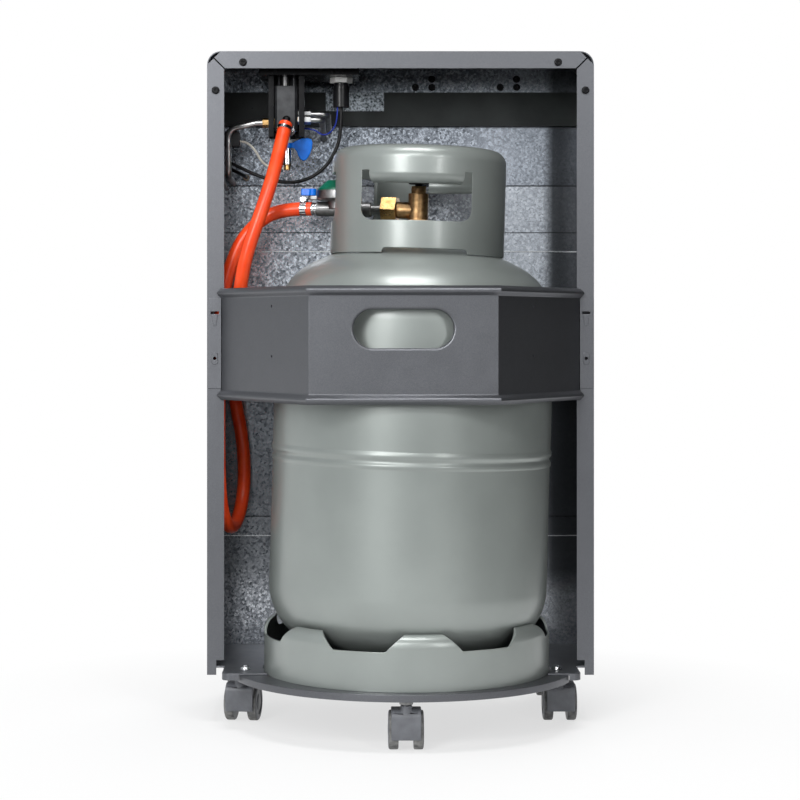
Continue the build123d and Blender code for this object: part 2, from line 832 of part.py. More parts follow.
def make_cylinder_foot():
    """Foot ring whose top is drawn in to the vessel, with trapezoid cut-outs that leave it on tabs."""
    top = shelf_top + foot_height
    head_drop = lower_head_height - top
    vessel_r = bottle_radius - knuckle_radius + sqrt(knuckle_radius**2 - head_drop**2)
    top_r = vessel_r + weld_gap + foot_slack
    bend_in = foot_radius - foot_wall
    section = make_face(
        Polyline((bend_in, shelf_top), (foot_radius, shelf_top), (foot_radius, foot_shoulder_height))
        + ThreePointArc(
            (foot_radius, foot_shoulder_height),
            (foot_radius - 1.5, foot_shoulder_height + 7),
            (top_r + foot_wall, top),
        )
        + Line((top_r + foot_wall, top), (top_r, top))
        + ThreePointArc(
            (top_r, top), (bend_in - 1.8, foot_shoulder_height + 6.2), (bend_in, foot_shoulder_height - 1)
        )
        + Line((bend_in, foot_shoulder_height - 1), (bend_in, shelf_top))
    )
    foot = revolve(Plane.XZ * section, Axis.Z)
    half_top = foot_radius * tan(radians(foot_notch_angle / 2))
    half_low = foot_radius * tan(radians(foot_notch_angle / 2 - foot_notch_slope))
    notch = polygon(
        (-half_low, foot_notch_bottom),
        (half_low, foot_notch_bottom),
        (half_top, top + 1),
        (-half_top, top + 1),
    )
    notch = fillet(notch.vertices().group_by(Axis.Y)[0], 4)
    cutter = slab(notch, -foot_radius - 5, -foot_radius + 25)
    for step in range(foot_notches):
        foot -= Rot(0, 0, first_notch_angle + step * 360 / foot_notches) * cutter
    return Pos(bottle_x, bottle_depth, 0) * foot - spun(vessel_face(-weld_gap))


def make_cylinder_collar():
    """Guard collar with a curled rim, three hand windows and a drain arch at the rear."""
    inner = collar_radius - collar_wall
    low = crown_height(inner) + weld_gap
    bend = collar_top - collar_curl
    centre_r = collar_radius - collar_curl
    far = collar_curl / sqrt(2)
    near = (collar_curl - collar_wall) / sqrt(2)
    section = make_face(
        Polyline((inner, low), (collar_radius, low), (collar_radius, bend))
        + ThreePointArc((collar_radius, bend), (centre_r + far, bend + far), (centre_r, collar_top))
        + Line((centre_r, collar_top), (centre_r, collar_top - collar_wall))
        + ThreePointArc((centre_r, collar_top - collar_wall), (centre_r + near, bend + near), (inner, bend))
        + Line((inner, bend), (inner, low))
    )
    collar = spun(section)
    half = collar_radius * sin(radians(window_half_angle))
    height = window_high - window_low
    window = Pos(0, (window_high + window_low) / 2) * Rectangle(2 * half, height)
    window = fillet(window.vertices().group_by(Axis.Y)[0], window_corner)
    cutter = slab(window, -collar_radius - 5, -collar_radius * cos(radians(window_half_angle)) + 15)
    for angle in window_angles:
        collar -= on_bottle_axis(Rot(0, 0, angle) * cutter)
    drain = Pos(0, low) * Rectangle(drain_width, 2 * drain_height)
    drain = fillet(drain.vertices().group_by(Axis.Y)[-1], drain_height * 0.8)
    collar -= on_bottle_axis(Rot(0, 0, drain_angle) * slab(drain, -collar_radius - 5, -collar_radius + 40))
    drop = radians(75)
    arc_low = window_high - tongue_drop
    curl = [tongue_curl, tongue_curl - collar_wall]
    curl_r = collar_radius - tongue_curl
    ends = [(curl_r + size * cos(drop), arc_low - size * sin(drop)) for size in curl]
    mids = [(curl_r + size * cos(drop / 2), arc_low - size * sin(drop / 2)) for size in curl]
    tongue = make_face(
        Polyline(
            (inner, arc_low), (inner, window_high), (collar_radius, window_high), (collar_radius, arc_low)
        )
        + ThreePointArc((collar_radius, arc_low), mids[0], ends[0])
        + Line(ends[0], ends[1])
        + ThreePointArc(ends[1], mids[1], (inner, arc_low))
    )
    strip = revolve(Plane.XZ * tongue, Axis.Z, 2 * tongue_half_angle)
    for angle in window_angles[:2]:
        collar += on_bottle_axis(Rot(0, 0, angle - 90 - tongue_half_angle) * strip)
    return collar


# ---------------------------------------------------------------- bottle valve and regulator
def outlet_frame():
    """The bottle's own frame, turned so that its X runs along the valve's outlet."""
    return bottle_frame() * Rot(0, 0, 180 - outlet_turn)


def along_outlet(reach, height):
    """A point at a distance from the bottle's axis, on the line of the valve's outlet."""
    return (outlet_frame() * Pos(reach, 0, height)).position


def axis_rod(low, high, radius):
    return rod(along_outlet(0, low), along_outlet(0, high), radius)


def make_cylinder_valve():
    seat = crown_height(0) + neck_ring_height
    valve = axis_rod(seat - neck_ring_height - bottle_wall, seat, valve_thread_radius - running_gap)
    valve += hex_bar(along_outlet(0, seat), along_outlet(0, seat + valve_hex_height), valve_hex)
    valve += axis_rod(seat + valve_hex_height, valve_top, valve_body_radius)
    valve += axis_rod(valve_top, gland_top, gland_radius)
    valve += rod(along_outlet(0, outlet_height), along_outlet(outlet_length, outlet_height), outlet_radius)
    valve -= axis_rod(valve_top - 5, gland_top, spindle_radius + running_gap)
    bore = spigot_radius + running_gap
    mouth = (along_outlet(outlet_length - 8, outlet_height), along_outlet(outlet_length, outlet_height))
    valve -= rod(*mouth, bore)
    return valve


def make_handwheel():
    low = gland_top + 2
    high = low + handwheel_height
    wheel = Circle(handwheel_radius)
    scallop = handwheel_radius * 0.28
    for step in range(8):
        angle = radians(step * 45)
        reach = handwheel_radius * 1.12
        wheel -= Pos(reach * cos(angle), reach * sin(angle)) * Circle(scallop)
    wheel = layer(wheel, low + 4, high)
    wheel += layer(Circle(gland_radius + 3), low, low + 4)
    wheel += layer(Circle(spindle_radius), valve_top - 4, low)
    return on_bottle_axis(wheel)


def make_regulator_nut():
    start = outlet_length + 0.3
    ends = (along_outlet(start, outlet_height), along_outlet(start + nut_length, outlet_height))
    return hex_bar(*ends, nut_across) - rod(*ends, spigot_radius + running_gap)


def above_outlet(reach, sketch, low, high):
    """A sketch drawn round a point on the outlet's line, its own X along that line, as an upright solid."""
    return outlet_frame() * Pos(reach, 0, 0) * layer(sketch, low, high)


def make_regulator_body():
    """Spigot through the nut, the gas way under the disc, and an ear with the lever's pivot."""
    start = along_outlet(outlet_length - 7, outlet_height)
    body = rod(start, along_outlet(tail_start, outlet_height), spigot_radius)
    body += rod(along_outlet(52, outlet_height), along_outlet(tail_start, outlet_height), tail_radius + 1)
    disc = above_outlet(regulator_reach, Circle(regulator_radius), regulator_low, regulator_split)
    body += chamfer(disc.edges().group_by(Axis.Z)[0], 2)
    body += above_outlet(regulator_reach, Circle(regulator_radius * 0.5), outlet_height, regulator_low)
    ear_length = lever_reach - regulator_reach + 4.5
    ear = Pos(ear_length / 2) * Rectangle(ear_length, 9)
    ear = fillet(ear.vertices().group_by(Axis.X)[-1], 4)
    body += above_outlet(regulator_reach, ear, regulator_low + 1, lever_low - 0.2)
    body += above_outlet(lever_reach, Circle(2), lever_low - 0.2, lever_high + 0.5)
    way = hose_bore / 2 - 1
    body -= rod(along_outlet(tail_start - 12, outlet_height), along_outlet(tail_start, outlet_height), way)
    return body


def make_regulator_cap():
    """Sloped cap on the disc, with a flat round top."""
    rim = regulator_radius - 1
    face = polygon(
        (0, regulator_split),
        (rim, regulator_split),
        (rim, regulator_split + 2),
        (cap_top_radius, regulator_top),
        (0, regulator_top),
    )
    return outlet_frame() * Pos(regulator_reach, 0, 0) * revolve(Plane.XZ * face, Axis.Z)


def make_regulator_lever():
    lever = Circle(4) + Pos(lever_length / 2) * Rectangle(lever_length, 5)
    lever = fillet(lever.vertices().group_by(Axis.X)[-1], 1.5)
    return above_outlet(lever_reach, lever - Circle(2 + running_gap), lever_low, lever_high)


def make_hose_tail():
    """Turned collar and the spigot that the hose is pushed on."""
    middle = along_outlet(tail_end, outlet_height)
    tail = rod(along_outlet(tail_start, outlet_height), middle, tail_radius)
    groove = (along_outlet(tail_start + 2, outlet_height), along_outlet(tail_start + 3, outlet_height))
    tail -= rod(*groove, tail_radius + 1) - rod(*groove, tail_radius - 0.8)
    tail += rod(middle, along_outlet(tail_end + tail_barb, outlet_height), hose_bore / 2 - running_gap)
    return tail


# ---------------------------------------------------------------- hose and its ends
def hose_points():
    """All corner points of the hose, from the gas valve's elbow to the regulator's tail."""
    last = along_outlet(tail_end + hose_last_run, outlet_height)
    return [*from_left([hose_start, *hose_route]), tuple(last), tuple(along_outlet(tail_end, outlet_height))]


def make_gas_hose():
    points = hose_points()
    hose, path, radii = tube_run(points, hose_diameter, hose_bore)
    report_cord("gas_hose", hose, path, radii, hose_diameter, hose_bore)
    print("gas_hose points", [tuple(round(value, 2) for value in point) for point in points])
    return hose


def clamp_at(end, inner_point, side, inset, width):
    """A worm clamp round the hose, with its screw housing towards the given side."""
    along = (Vector(inner_point) - Vector(end)).normalized()
    middle = Vector(end) + along * inset
    side = Vector(side)
    frame = Plane(origin=middle, x_dir=side - along * side.dot(along), z_dir=along)
    inner = hose_diameter / 2 + running_gap
    clamp = extrude(Circle(inner + 0.9) - Circle(inner), width / 2, both=True)
    clamp += Pos(inner + 2.4, 0, 0) * Box(3.6, 9, width - 0.5)
    clamp += Pos(inner + 2.4, 0, 0) * (Rot(90, 0, 0) * Cylinder(min(2.6, width * 0.45), 14))
    return frame * clamp


def make_hose_clamps():
    points = hose_points()
    clamps = [
        clamp_at(points[0], points[1], (0.9, 0.5, 0), upper_clamp_inset, upper_clamp_width),
        clamp_at(points[-1], points[-2], (0, 0, 1), clamp_inset, clamp_width),
    ]
    return Compound([solid for clamp in clamps for solid in clamp.solids()])


def hose_direction():
    """The way the hose leaves the gas valve's elbow."""
    first, second = hose_points()[:2]
    return (Vector(second) - Vector(first)).normalized()


def make_hose_elbow():
    """Elbow from the gas valve's rear face to the upper end of the hose."""
    end = Vector(hose_points()[0])
    down = hose_direction()
    centre = end - down * elbow_length
    elbow = Pos(*centre) * Sphere(elbow_radius)
    elbow += rod(centre, end, elbow_radius)
    elbow += rod(end, end + down * tail_barb, hose_bore / 2 - running_gap)
    elbow += rod(centre, (centre.X, valve_depth[0], centre.Z), elbow_radius - 0.5)
    return elbow


# ---------------------------------------------------------------- controls
def make_control_tray():
    """Sunk tray in the cabinet's top, with a rim under the sheet round its opening."""
    x0, x1 = tray_x
    y0, y1 = tray_depth
    outer = block((x0, x1), (y0, y1), (tray_floor, cabinet_top - 0.2))
    inner = block((x0 + sheet, x1 - sheet), (y0 + sheet, y1 - sheet), (tray_floor + sheet, cabinet_top))
    rim = block(
        (x0 - tray_rim, x1 + tray_rim), (y0 - tray_rim, y1 + tray_rim), (inner_top - sheet, inner_top)
    )
    tray = outer + rim - inner
    holes = ((knob_x, knob_depth, spindle_radius + 1), (igniter_x, igniter_depth, igniter_neck_radius + 0.3))
    for x, depth, radius in holes:
        tray -= rod((x, depth, tray_floor), (x, depth, tray_floor + sheet), radius)
    return tray


def make_valve_bracket():
    """C-shaped channel that hangs from the tray and holds the gas valve."""
    x0, x1 = bracket_x
    y0, y1 = bracket_depth
    wide, deep = x1 - x0, y1 - y0
    middle = Pos((x0 + x1) / 2, (y0 + y1) / 2)
    outer = middle * Rectangle(wide, deep)
    hollow = middle * Rectangle(wide - 2 * bracket_sheet, deep - 2 * bracket_sheet)
    mouth = Pos((x0 + x1) / 2, y0) * Rectangle(wide - 2 * bracket_lip, 4 * bracket_sheet)
    bracket = layer(outer - hollow - mouth, bracket_bottom, tray_floor)
    side_hole = pipe_nut_across / 2 + 1
    depth, height = left_pipe
    bracket -= rod((x0 - 1, depth, height), (x0 + 3, depth, height), side_hole)
    for depth, height in right_pipes:
        bracket -= rod((x1 - 3, depth, height), (x1 + 1, depth, height), side_hole)
    return bracket


def make_gas_valve():
    """Cast valve block with its mounting posts and the bore of the control spindle."""
    body = block(valve_x, valve_depth, valve_z)
    body = chamfer(body.edges().filter_by(Axis.Z), 3)
    middle = sum(valve_depth) / 2
    for x in post_x:
        body += rod((x, middle + 6, valve_z[1]), (x, middle + 6, tray_floor), post_radius)
    back = bracket_depth[1] - bracket_sheet
    body += block((valve_x[0] + 4, valve_x[1] - 4), (valve_depth[1], back), (valve_z[0] + 5, valve_z[1] - 5))
    bore = spindle_radius + running_gap
    body -= rod((knob_x, knob_depth, valve_z[1] - 14), (knob_x, knob_depth, valve_z[1]), bore)
    return body


def make_valve_spindle():
    return rod((knob_x, knob_depth, valve_z[1] - 9), (knob_x, knob_depth, knob_high - 4), spindle_radius)


def make_control_knob():
    """Round knob with a grip bar across its top and finger grooves round its side."""
    outline = Circle(knob_radius)
    reach = knob_radius + 1
    for step in range(16):
        angle = radians(step * 22.5)
        outline -= Pos(reach * cos(angle), reach * sin(angle)) * Circle(2)
    knob = layer(outline, knob_low, knob_high - 6)
    grip = layer(SlotOverall(2 * knob_radius - 4, 9), knob_high - 6, knob_high)
    knob += fillet(grip.edges().group_by(Axis.Z)[-1], 2)
    knob -= layer(Circle(spindle_radius + running_gap), knob_low, knob_high - 3.9)
    return Pos(knob_x, knob_depth, 0) * knob


def at_igniter(sketch, low, high):
    return Pos(igniter_x, igniter_depth, 0) * layer(sketch, low, high)


def make_igniter_body():
    neck_top = tray_floor + sheet + 4
    body = at_igniter(Circle(igniter_radius), igniter_low, igniter_high)
    body += at_igniter(Circle(igniter_neck_radius), igniter_high, neck_top)
    body += at_igniter(Circle(igniter_neck_radius + 3), tray_floor + sheet, neck_top)
    body -= at_igniter(Circle(button_radius + running_gap), igniter_high - 14, neck_top)
    return body


def make_igniter_nut():
    hexagon = RegularPolygon(igniter_nut_across / 2, 6, major_radius=False)
    return at_igniter(hexagon - Circle(igniter_neck_radius + 0.1), tray_floor - 6, tray_floor)


def make_igniter_button():
    button = at_igniter(Circle(button_radius), igniter_high - 14 + button_travel + 0.5, button_top)
    return fillet(button.edges().group_by(Axis.Z)[-1], 1.5)


def make_inlet_tap():
    """Small shut-off tap under the gas valve, with the nut of the flame sensor's lead at its foot."""
    tap = rod((tap_x, tap_depth, tap_low), (tap_x, tap_depth, tap_high), tap_radius)
    tap = chamfer(tap.edges().group_by(Axis.Z)[0], 0.8)
    tap += rod((tap_x, tap_depth, tap_high), (tap_x, tap_depth, valve_z[0]), tap_stub_radius)
    tap += rod((tap_x, tap_depth, tap_foot_low), (tap_x, tap_depth, tap_low), tap_foot_radius)
    tap += rod((tap_x, tap_depth, tap_high + 6), (tap_x, tap_depth, tap_high + 9), tap_ring_radius)
    return tap


def make_tap_lever():
    """Flat paddle on a ring that turns round the tap's neck."""
    low = tap_high + 0.3
    ring = layer(Circle(tap_ring_radius) - Circle(tap_stub_radius + running_gap), low, low + 5.4)
    half_plate = paddle_plate / 2
    neck = block((tap_stub_radius + 1, paddle_reach - 4), (-half_plate, half_plate), (low, low + 5.4))
    oval = Pos(paddle_reach, paddle_height_mid) * Ellipse(paddle_width / 2, paddle_height / 2)
    beside = Rectangle(2 * paddle_reach, 2 * paddle_height, align=(Align.MIN, Align.CENTER))
    beside = Pos(tap_radius + 1, paddle_height_mid) * beside
    paddle = slab(oval & beside, -half_plate, half_plate)
    return Pos(tap_x, tap_depth, 0) * (ring + neck + paddle)


# ---------------------------------------------------------------- pipes and leads
def pipe_routes():
    """Corner points of the three burner pipes, from the gas valve through the wall to the injectors."""
    foot_depth, foot_height = left_pipe_foot
    first = bracket_x[0] - pipe_nut_length
    routes = [[
        (first, *left_pipe),
        (first - pipe_diameter, *left_pipe),
        (left_pipe_x, *left_pipe_sag),
        (left_pipe_x, foot_depth, foot_height),
        (left_pipe_x, manifold_depth, foot_height),
        (left_pipe_x, manifold_depth, pipe_run_heights[0]),
    ]]
    for (depth, low), pass_x, height in zip(right_pipes, right_pipe_x, pipe_run_heights[1:]):
        routes.append([
            (bracket_x[1] + pipe_nut_length, depth, low),
            (pass_x, depth, low),
            (pass_x, wall_depth - 22, height),
            (pass_x, manifold_depth, height),
        ])
    for route, height, column in zip(routes, pipe_run_heights, plaque_columns):
        route.append((column, manifold_depth, height))
        route.append((column, manifold_depth, venturi_top))
    return routes


def pilot_route():
    """Corner points of the thin pipe that feeds the pilot burner."""
    x, depth, top = pilot_start
    arm_x = electrode_x + electrode_radius + 1
    return [
        (x, depth, top),
        (x, depth, top - 28),
        (x, wall_depth - 22, pilot_height),
        (x, pilot_depth, pilot_height),
        (arm_x, pilot_depth, pilot_height),
    ]


def bent_pipe(points, outer):
    """A pipe bent on a former: every corner has the same radius, or less where its runs are short."""
    corners = [Vector(point) for point in points]
    radii = []
    for before, corner, after in zip(corners, corners[1:], corners[2:]):
        turn = radians((corner - before).get_angle(after - corner))
        shorter = min((corner - before).length, (after - corner).length)
        radii.append(min(pipe_bend, 0.45 * shorter / tan(turn / 2)))
    path = FilletPolyline(*corners, radius=radii)
    return sweep(Plane(origin=corners[0], z_dir=corners[1] - corners[0]) * Circle(outer / 2), path=path)


def make_gas_pipes():
    pipes = [bent_pipe(route, pipe_diameter) for route in pipe_routes()]
    return Compound([solid for pipe in pipes for solid in pipe.solids()])


def make_pilot_pipe():
    return bent_pipe(pilot_route(), pilot_pipe_diameter)


def make_pipe_nuts():
    """Brass union nuts where the pipes leave the gas valve."""
    nuts = []
    for route, side in zip(pipe_routes(), (valve_x[0], valve_x[1], valve_x[1])):
        end = Vector(route[0])
        nut = hex_bar((side, end.Y, end.Z), end, pipe_nut_across)
        nuts.append(nut)
    return Compound([solid for nut in nuts for solid in nut.solids()])


def make_wall_block():
    """Moulded clip on the cabinet's left side that takes the leads."""
    x, depth, low = pilot_start
    clip = block((-inner_half, from_left(lead_route)[0][0]), (depth - 5, depth + 15), (low, low + 17))
    return chamfer(clip.edges().filter_by(Axis.Y), 1.5)


def make_igniter_cable():
    cable, path, radii = tube_run(from_left(cable_route), cable_diameter)
    report_cord("igniter_cable", cable, path, radii, cable_diameter)
    return cable


def make_thermocouple_lead():
    lead, path, radii = tube_run(from_left(lead_route), lead_diameter)
    report_cord("thermocouple_lead", lead, path, radii, lead_diameter)
    return lead


def make_earth_wire():
    wire, path, radii = tube_run(from_left(earth_route), earth_diameter)
    report_cord("earth_wire", wire, path, radii, earth_diameter)
    return wire


# ---------------------------------------------------------------- front of the heater
def make_front_panel():
    """Lower front cover with two columns of pressed louvres."""
    low = skirt_bottom + 2
    back, face = cabinet_depth - sheet - front_sheet, cabinet_depth - sheet
    panel = block((-inner_half + 0.3, inner_half - 0.3), (back, face), (low, panel_top))
    hood = polygon(
        (back, 1.5),
        (back, 0),
        (back - louvre_hood + 0.8, -louvre_height),
        (back - louvre_hood, -louvre_height),
        (back - louvre_hood * 0.8, -louvre_height * 0.45),
    )
    for row in range(louvre_rows):
        level = louvre_low + row * louvre_pitch
        for column in range(louvre_columns):
            x = (column - (louvre_columns - 1) / 2) * (louvre_width + 30)
            limits = (x - louvre_width / 2, x + louvre_width / 2)
            panel -= block(limits, (back, face), (level, level + louvre_height))
            panel += Pos(0, 0, level + louvre_height) * beam(hood, *limits)
    return panel


def make_front_surround():
    """Upper front frame round the radiant opening, with a row of air slots above it."""
    back, face = cabinet_depth - sheet - front_sheet, cabinet_depth - sheet
    low = panel_top + 0.5
    fit = cabinet_outline(sheet + 0.3)
    keep = Pos(0, (low + cabinet_top) / 2) * Rectangle(cabinet_width, cabinet_top - low)
    opening = Pos(0, sum(opening_z) / 2) * RectangleRounded(2 * opening_half, opening_z[1] - opening_z[0], 12)
    frame = slab((fit & keep) - opening, back, face)
    for step in range(vent_count):
        x = (step - (vent_count - 1) / 2) * vent_pitch
        frame -= slab(Pos(x, vent_level) * SlotOverall(vent_width, vent_height), back, face)
    for x in (-guard_half + 15, guard_half - 15):
        for z in guard_z:
            frame -= rod((x, back, z), (x, face, z), guard_frame_diameter / 2 + 0.2)
    return frame


def make_reflector():
    """Polished funnel from the opening to the plaques, with a window for the pilot on the left."""
    front = cabinet_depth - sheet - front_sheet
    wide = (opening_half + 4, (opening_z[1] - opening_z[0]) / 2 + 4)
    low_half = plaque_spacing + plaque_width / 2 + 1
    tight = (low_half, plaque_height / 2 + 1)
    outer, inner = [], []
    for depth, (half_x, half_z), level in (
        (front, wide, sum(opening_z) / 2),
        (reflector_back, tight, plaque_level),
    ):
        place = Pos(0, depth, level)
        outer.append(place * (Plane.XZ * Rectangle(2 * half_x + 2, 2 * half_z + 2)))
        inner.append(place * (Plane.XZ * Rectangle(2 * half_x, 2 * half_z)))
    funnel = loft(outer, ruled=True) - loft(inner, ruled=True)
    flange = Rectangle(2 * tight[0] + 2, 2 * tight[1] + 2) - Rectangle(2 * tight[0], 2 * tight[1])
    funnel += slab(Pos(0, plaque_level) * flange, plaque_back + 1, reflector_back)
    window_x = (-wide[0] - 5, -low_half + 3)
    window_z = (pilot_height - 6, electrode_height + 6)
    return funnel - block(window_x, (reflector_back + 1, front - 3), window_z)


def make_burner_plenums():
    """Three pressed gas boxes, each with its mixing tube on top and a foot on the wall."""
    half = plaque_width / 2 - plenum_inset
    half_z = plaque_height / 2 - plenum_inset
    boxes = []
    for x in plaque_columns:
        limits_z = (plaque_level - half_z, plaque_level + half_z)
        box = block((x - half, x + half), (plenum_back, plaque_back - 0.1), limits_z)
        box = chamfer(box.faces().sort_by(Axis.Y)[0].edges(), 3)
        inner_x = (x - half + plenum_sheet, x + half - plenum_sheet)
        inner_z = (limits_z[0] + plenum_sheet, limits_z[1] - plenum_sheet)
        hollow = block(inner_x, (plenum_back + plenum_sheet, plaque_back), inner_z)
        box -= chamfer(hollow.faces().sort_by(Axis.Y)[0].edges(), 3)
        tube = ((x, manifold_depth, limits_z[1] - plenum_sheet), (x, manifold_depth, venturi_top))
        box += rod(*tube, venturi_radius)
        box -= rod(*tube, venturi_bore)
        foot_z = (plaque_level - 20, plaque_level + 20)
        box += block((x - 6, x + 6), (wall_depth + wall_sheet, plenum_back + 1), foot_z)
        boxes += box.solids()
    return Compound(boxes)


def make_ceramic_plaques():
    """Three ceramic burner plaques, each with a sunk glowing field inside a plain border."""
    outline = Rectangle(plaque_width, plaque_height)
    field = Rectangle(plaque_width - 12, plaque_height - 12)
    plaque_face = plaque_back + plaque_thickness
    plaques = []
    for x in plaque_columns:
        tile = slab(Pos(x, plaque_level) * outline, plaque_back, plaque_face)
        tile -= slab(Pos(x, plaque_level) * field, plaque_face - 1.5, plaque_face)
        plaques += tile.solids()
    return Compound(plaques)


def make_wire_guard():
    """Bowed wires in a round-cornered frame that stands off the opening on four feet."""
    low, high = guard_z
    outline = Plane.XZ * RectangleRounded(2 * guard_half, high - low, 14)
    frame_path = Wire((Pos(0, guard_base, (low + high) / 2) * outline).edges())
    start = Plane(origin=frame_path @ 0, z_dir=frame_path % 0)
    guard = sweep(start * Circle(guard_frame_diameter / 2), path=frame_path)
    pitch = (high - low) / (guard_wires + 1)
    for step in range(guard_wires):
        z = low + (step + 1) * pitch
        line = ThreePointArc(
            (-guard_half, guard_base, z), (0, guard_base + guard_bow, z), (guard_half, guard_base, z)
        )
        tip = Plane(origin=line @ 0, z_dir=line % 0)
        guard += sweep(tip * Circle(guard_wire_diameter / 2), path=line)
    for x in (-guard_half + 15, guard_half - 15):
        for z in guard_z:
            guard += rod((x, guard_base - guard_foot, z), (x, guard_base, z), guard_frame_diameter / 2)
    return guard


def make_pilot_burner():
    """Bracket on the wall with the pilot nozzle and the flame sensor's tip beside the left plaque."""
    foot_z = (pilot_height - 12, electrode_height + 10)
    arm_x = electrode_x + electrode_radius + 1
    bracket = block((arm_x, arm_x + 14), (wall_depth + wall_sheet, wall_depth + wall_sheet + 1), foot_z)
    bracket += block((arm_x, arm_x + 1), (wall_depth + wall_sheet, pilot_depth + 4), foot_z)
    tip_x = -(plaque_spacing + plaque_width / 2) - 4
    bracket += rod((arm_x, pilot_depth, pilot_height), (tip_x, pilot_depth, pilot_height), 3)
    bracket += rod((arm_x, pilot_depth, pilot_height + 7), (tip_x, pilot_depth, pilot_height + 7), 1.5)
    return bracket


def make_spark_electrode():
    """Ceramic rod through the wall, with its terminal behind and a bent spark wire in front."""
    start = Vector(from_left(cable_route)[-1])
    x, z = electrode_x, electrode_height
    ceramic_end = reflector_back - 1
    electrode = rod((x, start.Y, z), (x, start.Y + 5, z), 1.2)
    electrode += rod((x, start.Y + 5, z), (x, ceramic_end, z), electrode_radius)
    wire_end = pilot_depth
    electrode += rod((x, ceramic_end, z), (x, wire_end, z), 0.8)
    electrode += Pos(x, wire_end, z) * Sphere(0.8)
    return electrode


# ---------------------------------------------------------------- the whole heater
builders = {
    "cabinet_shell": make_cabinet_shell,
    "black_screws": make_black_screws,
    "inner_wall": make_inner_wall,
    "upper_wall": make_upper_wall,
    "air_baffle": make_air_baffle,
    "top_rail": make_top_rail,
    "cylinder_shelf": make_cylinder_shelf,
    "base_plate": make_base_plate,
    "shelf_screws": make_shelf_screws,
    "castor_sockets": make_castor_sockets,
    "retainer_band": make_retainer_band,
    "cylinder_body": make_cylinder_body,
    "cylinder_foot": make_cylinder_foot,
    "cylinder_collar": make_cylinder_collar,
    "cylinder_valve": make_cylinder_valve,
    "handwheel": make_handwheel,
    "regulator_nut": make_regulator_nut,
    "regulator_body": make_regulator_body,
    "regulator_cap": make_regulator_cap,
    "regulator_lever": make_regulator_lever,
    "hose_tail": make_hose_tail,
    "gas_hose": make_gas_hose,
    "hose_clamps": make_hose_clamps,
    "hose_elbow": make_hose_elbow,
    "control_tray": make_control_tray,
    "valve_bracket": make_valve_bracket,
    "gas_valve": make_gas_valve,
    "valve_spindle": make_valve_spindle,
    "control_knob": make_control_knob,
    "igniter_body": make_igniter_body,
    "igniter_nut": make_igniter_nut,
    "igniter_button": make_igniter_button,
    "inlet_tap": make_inlet_tap,
    "tap_lever": make_tap_lever,
    "gas_pipes": make_gas_pipes,
    "pilot_pipe": make_pilot_pipe,
    "pipe_nuts": make_pipe_nuts,
    "wall_block": make_wall_block,
    "igniter_cable": make_igniter_cable,
    "thermocouple_lead": make_thermocouple_lead,
    "earth_wire": make_earth_wire,
    "front_panel": make_front_panel,
    "front_surround": make_front_surround,
    "reflector": make_reflector,
    "burner_plenums": make_burner_plenums,
    "ceramic_plaques": make_ceramic_plaques,
    "wire_guard": make_wire_guard,
    "pilot_burner": make_pilot_burner,
    "spark_electrode": make_spark_electrode,
}

os.makedirs("parts", exist_ok=True)
for name, build in builders.items():
    export_step(Pos(0, centre_shift, 0) * build(), f"parts/{name}.step")
for number, place in enumerate(castor_places, 1):
    export_step(Pos(0, centre_shift, 0) * make_castor_hood(place), f"parts/castor_hood_{number}.step")
    export_step(Pos(0, centre_shift, 0) * make_castor_wheels(place), f"parts/castor_wheels_{number}.step")
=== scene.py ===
# %% [markdown]
# # A gas cabinet heater, seen from its open back
# The solid parts come from the CAD model, already in their places and in metres. This script gives every
# one of them its finish, replaces the ones whose shape a mesh can show better, and lights the scene.
# X runs to the right as the camera sees it, Y runs away from the camera, and Z is up from the floor.

# %% Load the frame
import json
import math

import bpy
from mathutils import Matrix, Vector


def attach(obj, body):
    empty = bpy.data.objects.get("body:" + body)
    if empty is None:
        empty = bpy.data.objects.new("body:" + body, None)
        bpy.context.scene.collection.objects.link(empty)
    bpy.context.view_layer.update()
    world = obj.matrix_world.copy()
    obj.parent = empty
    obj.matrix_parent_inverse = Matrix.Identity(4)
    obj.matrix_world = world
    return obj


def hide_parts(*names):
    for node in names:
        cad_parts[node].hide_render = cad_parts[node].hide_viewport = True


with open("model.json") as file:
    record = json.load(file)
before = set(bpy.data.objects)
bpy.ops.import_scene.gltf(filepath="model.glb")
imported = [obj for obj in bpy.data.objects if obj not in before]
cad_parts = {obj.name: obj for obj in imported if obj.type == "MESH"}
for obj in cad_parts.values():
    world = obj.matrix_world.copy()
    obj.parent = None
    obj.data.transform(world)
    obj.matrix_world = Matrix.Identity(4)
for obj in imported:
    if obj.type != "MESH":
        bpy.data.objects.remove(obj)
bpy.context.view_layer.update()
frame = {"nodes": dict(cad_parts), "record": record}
nodes = frame["nodes"]

# %% [markdown]
# The CAD model counts its depths from the outside of the rear flanges, and then moves everything so that
# the origin lies under the middle of the heater. The same shift turns a depth from the drawing into a
# place in this scene, so one small helper does it for every point below.

# %% Places taken from the drawing
REAR_PLANE = -0.02565


def at(x, depth, z):
    """A point from the drawing, in metres: depth is counted from the rear flanges."""
    return Vector((x, depth + REAR_PLANE, z))


print("the rear flanges are at y =", REAR_PLANE)

# %% [markdown]
# ## Camera
# The picture was taken from straight behind, 2.3 m away and at the height of the retaining band, with the
# lens shifted a little so that the heater is framed in the middle. A long lens keeps the sides parallel. Its
# focal length, and the point that it looks straight at, are given in pixels of a picture 800 pixels wide.

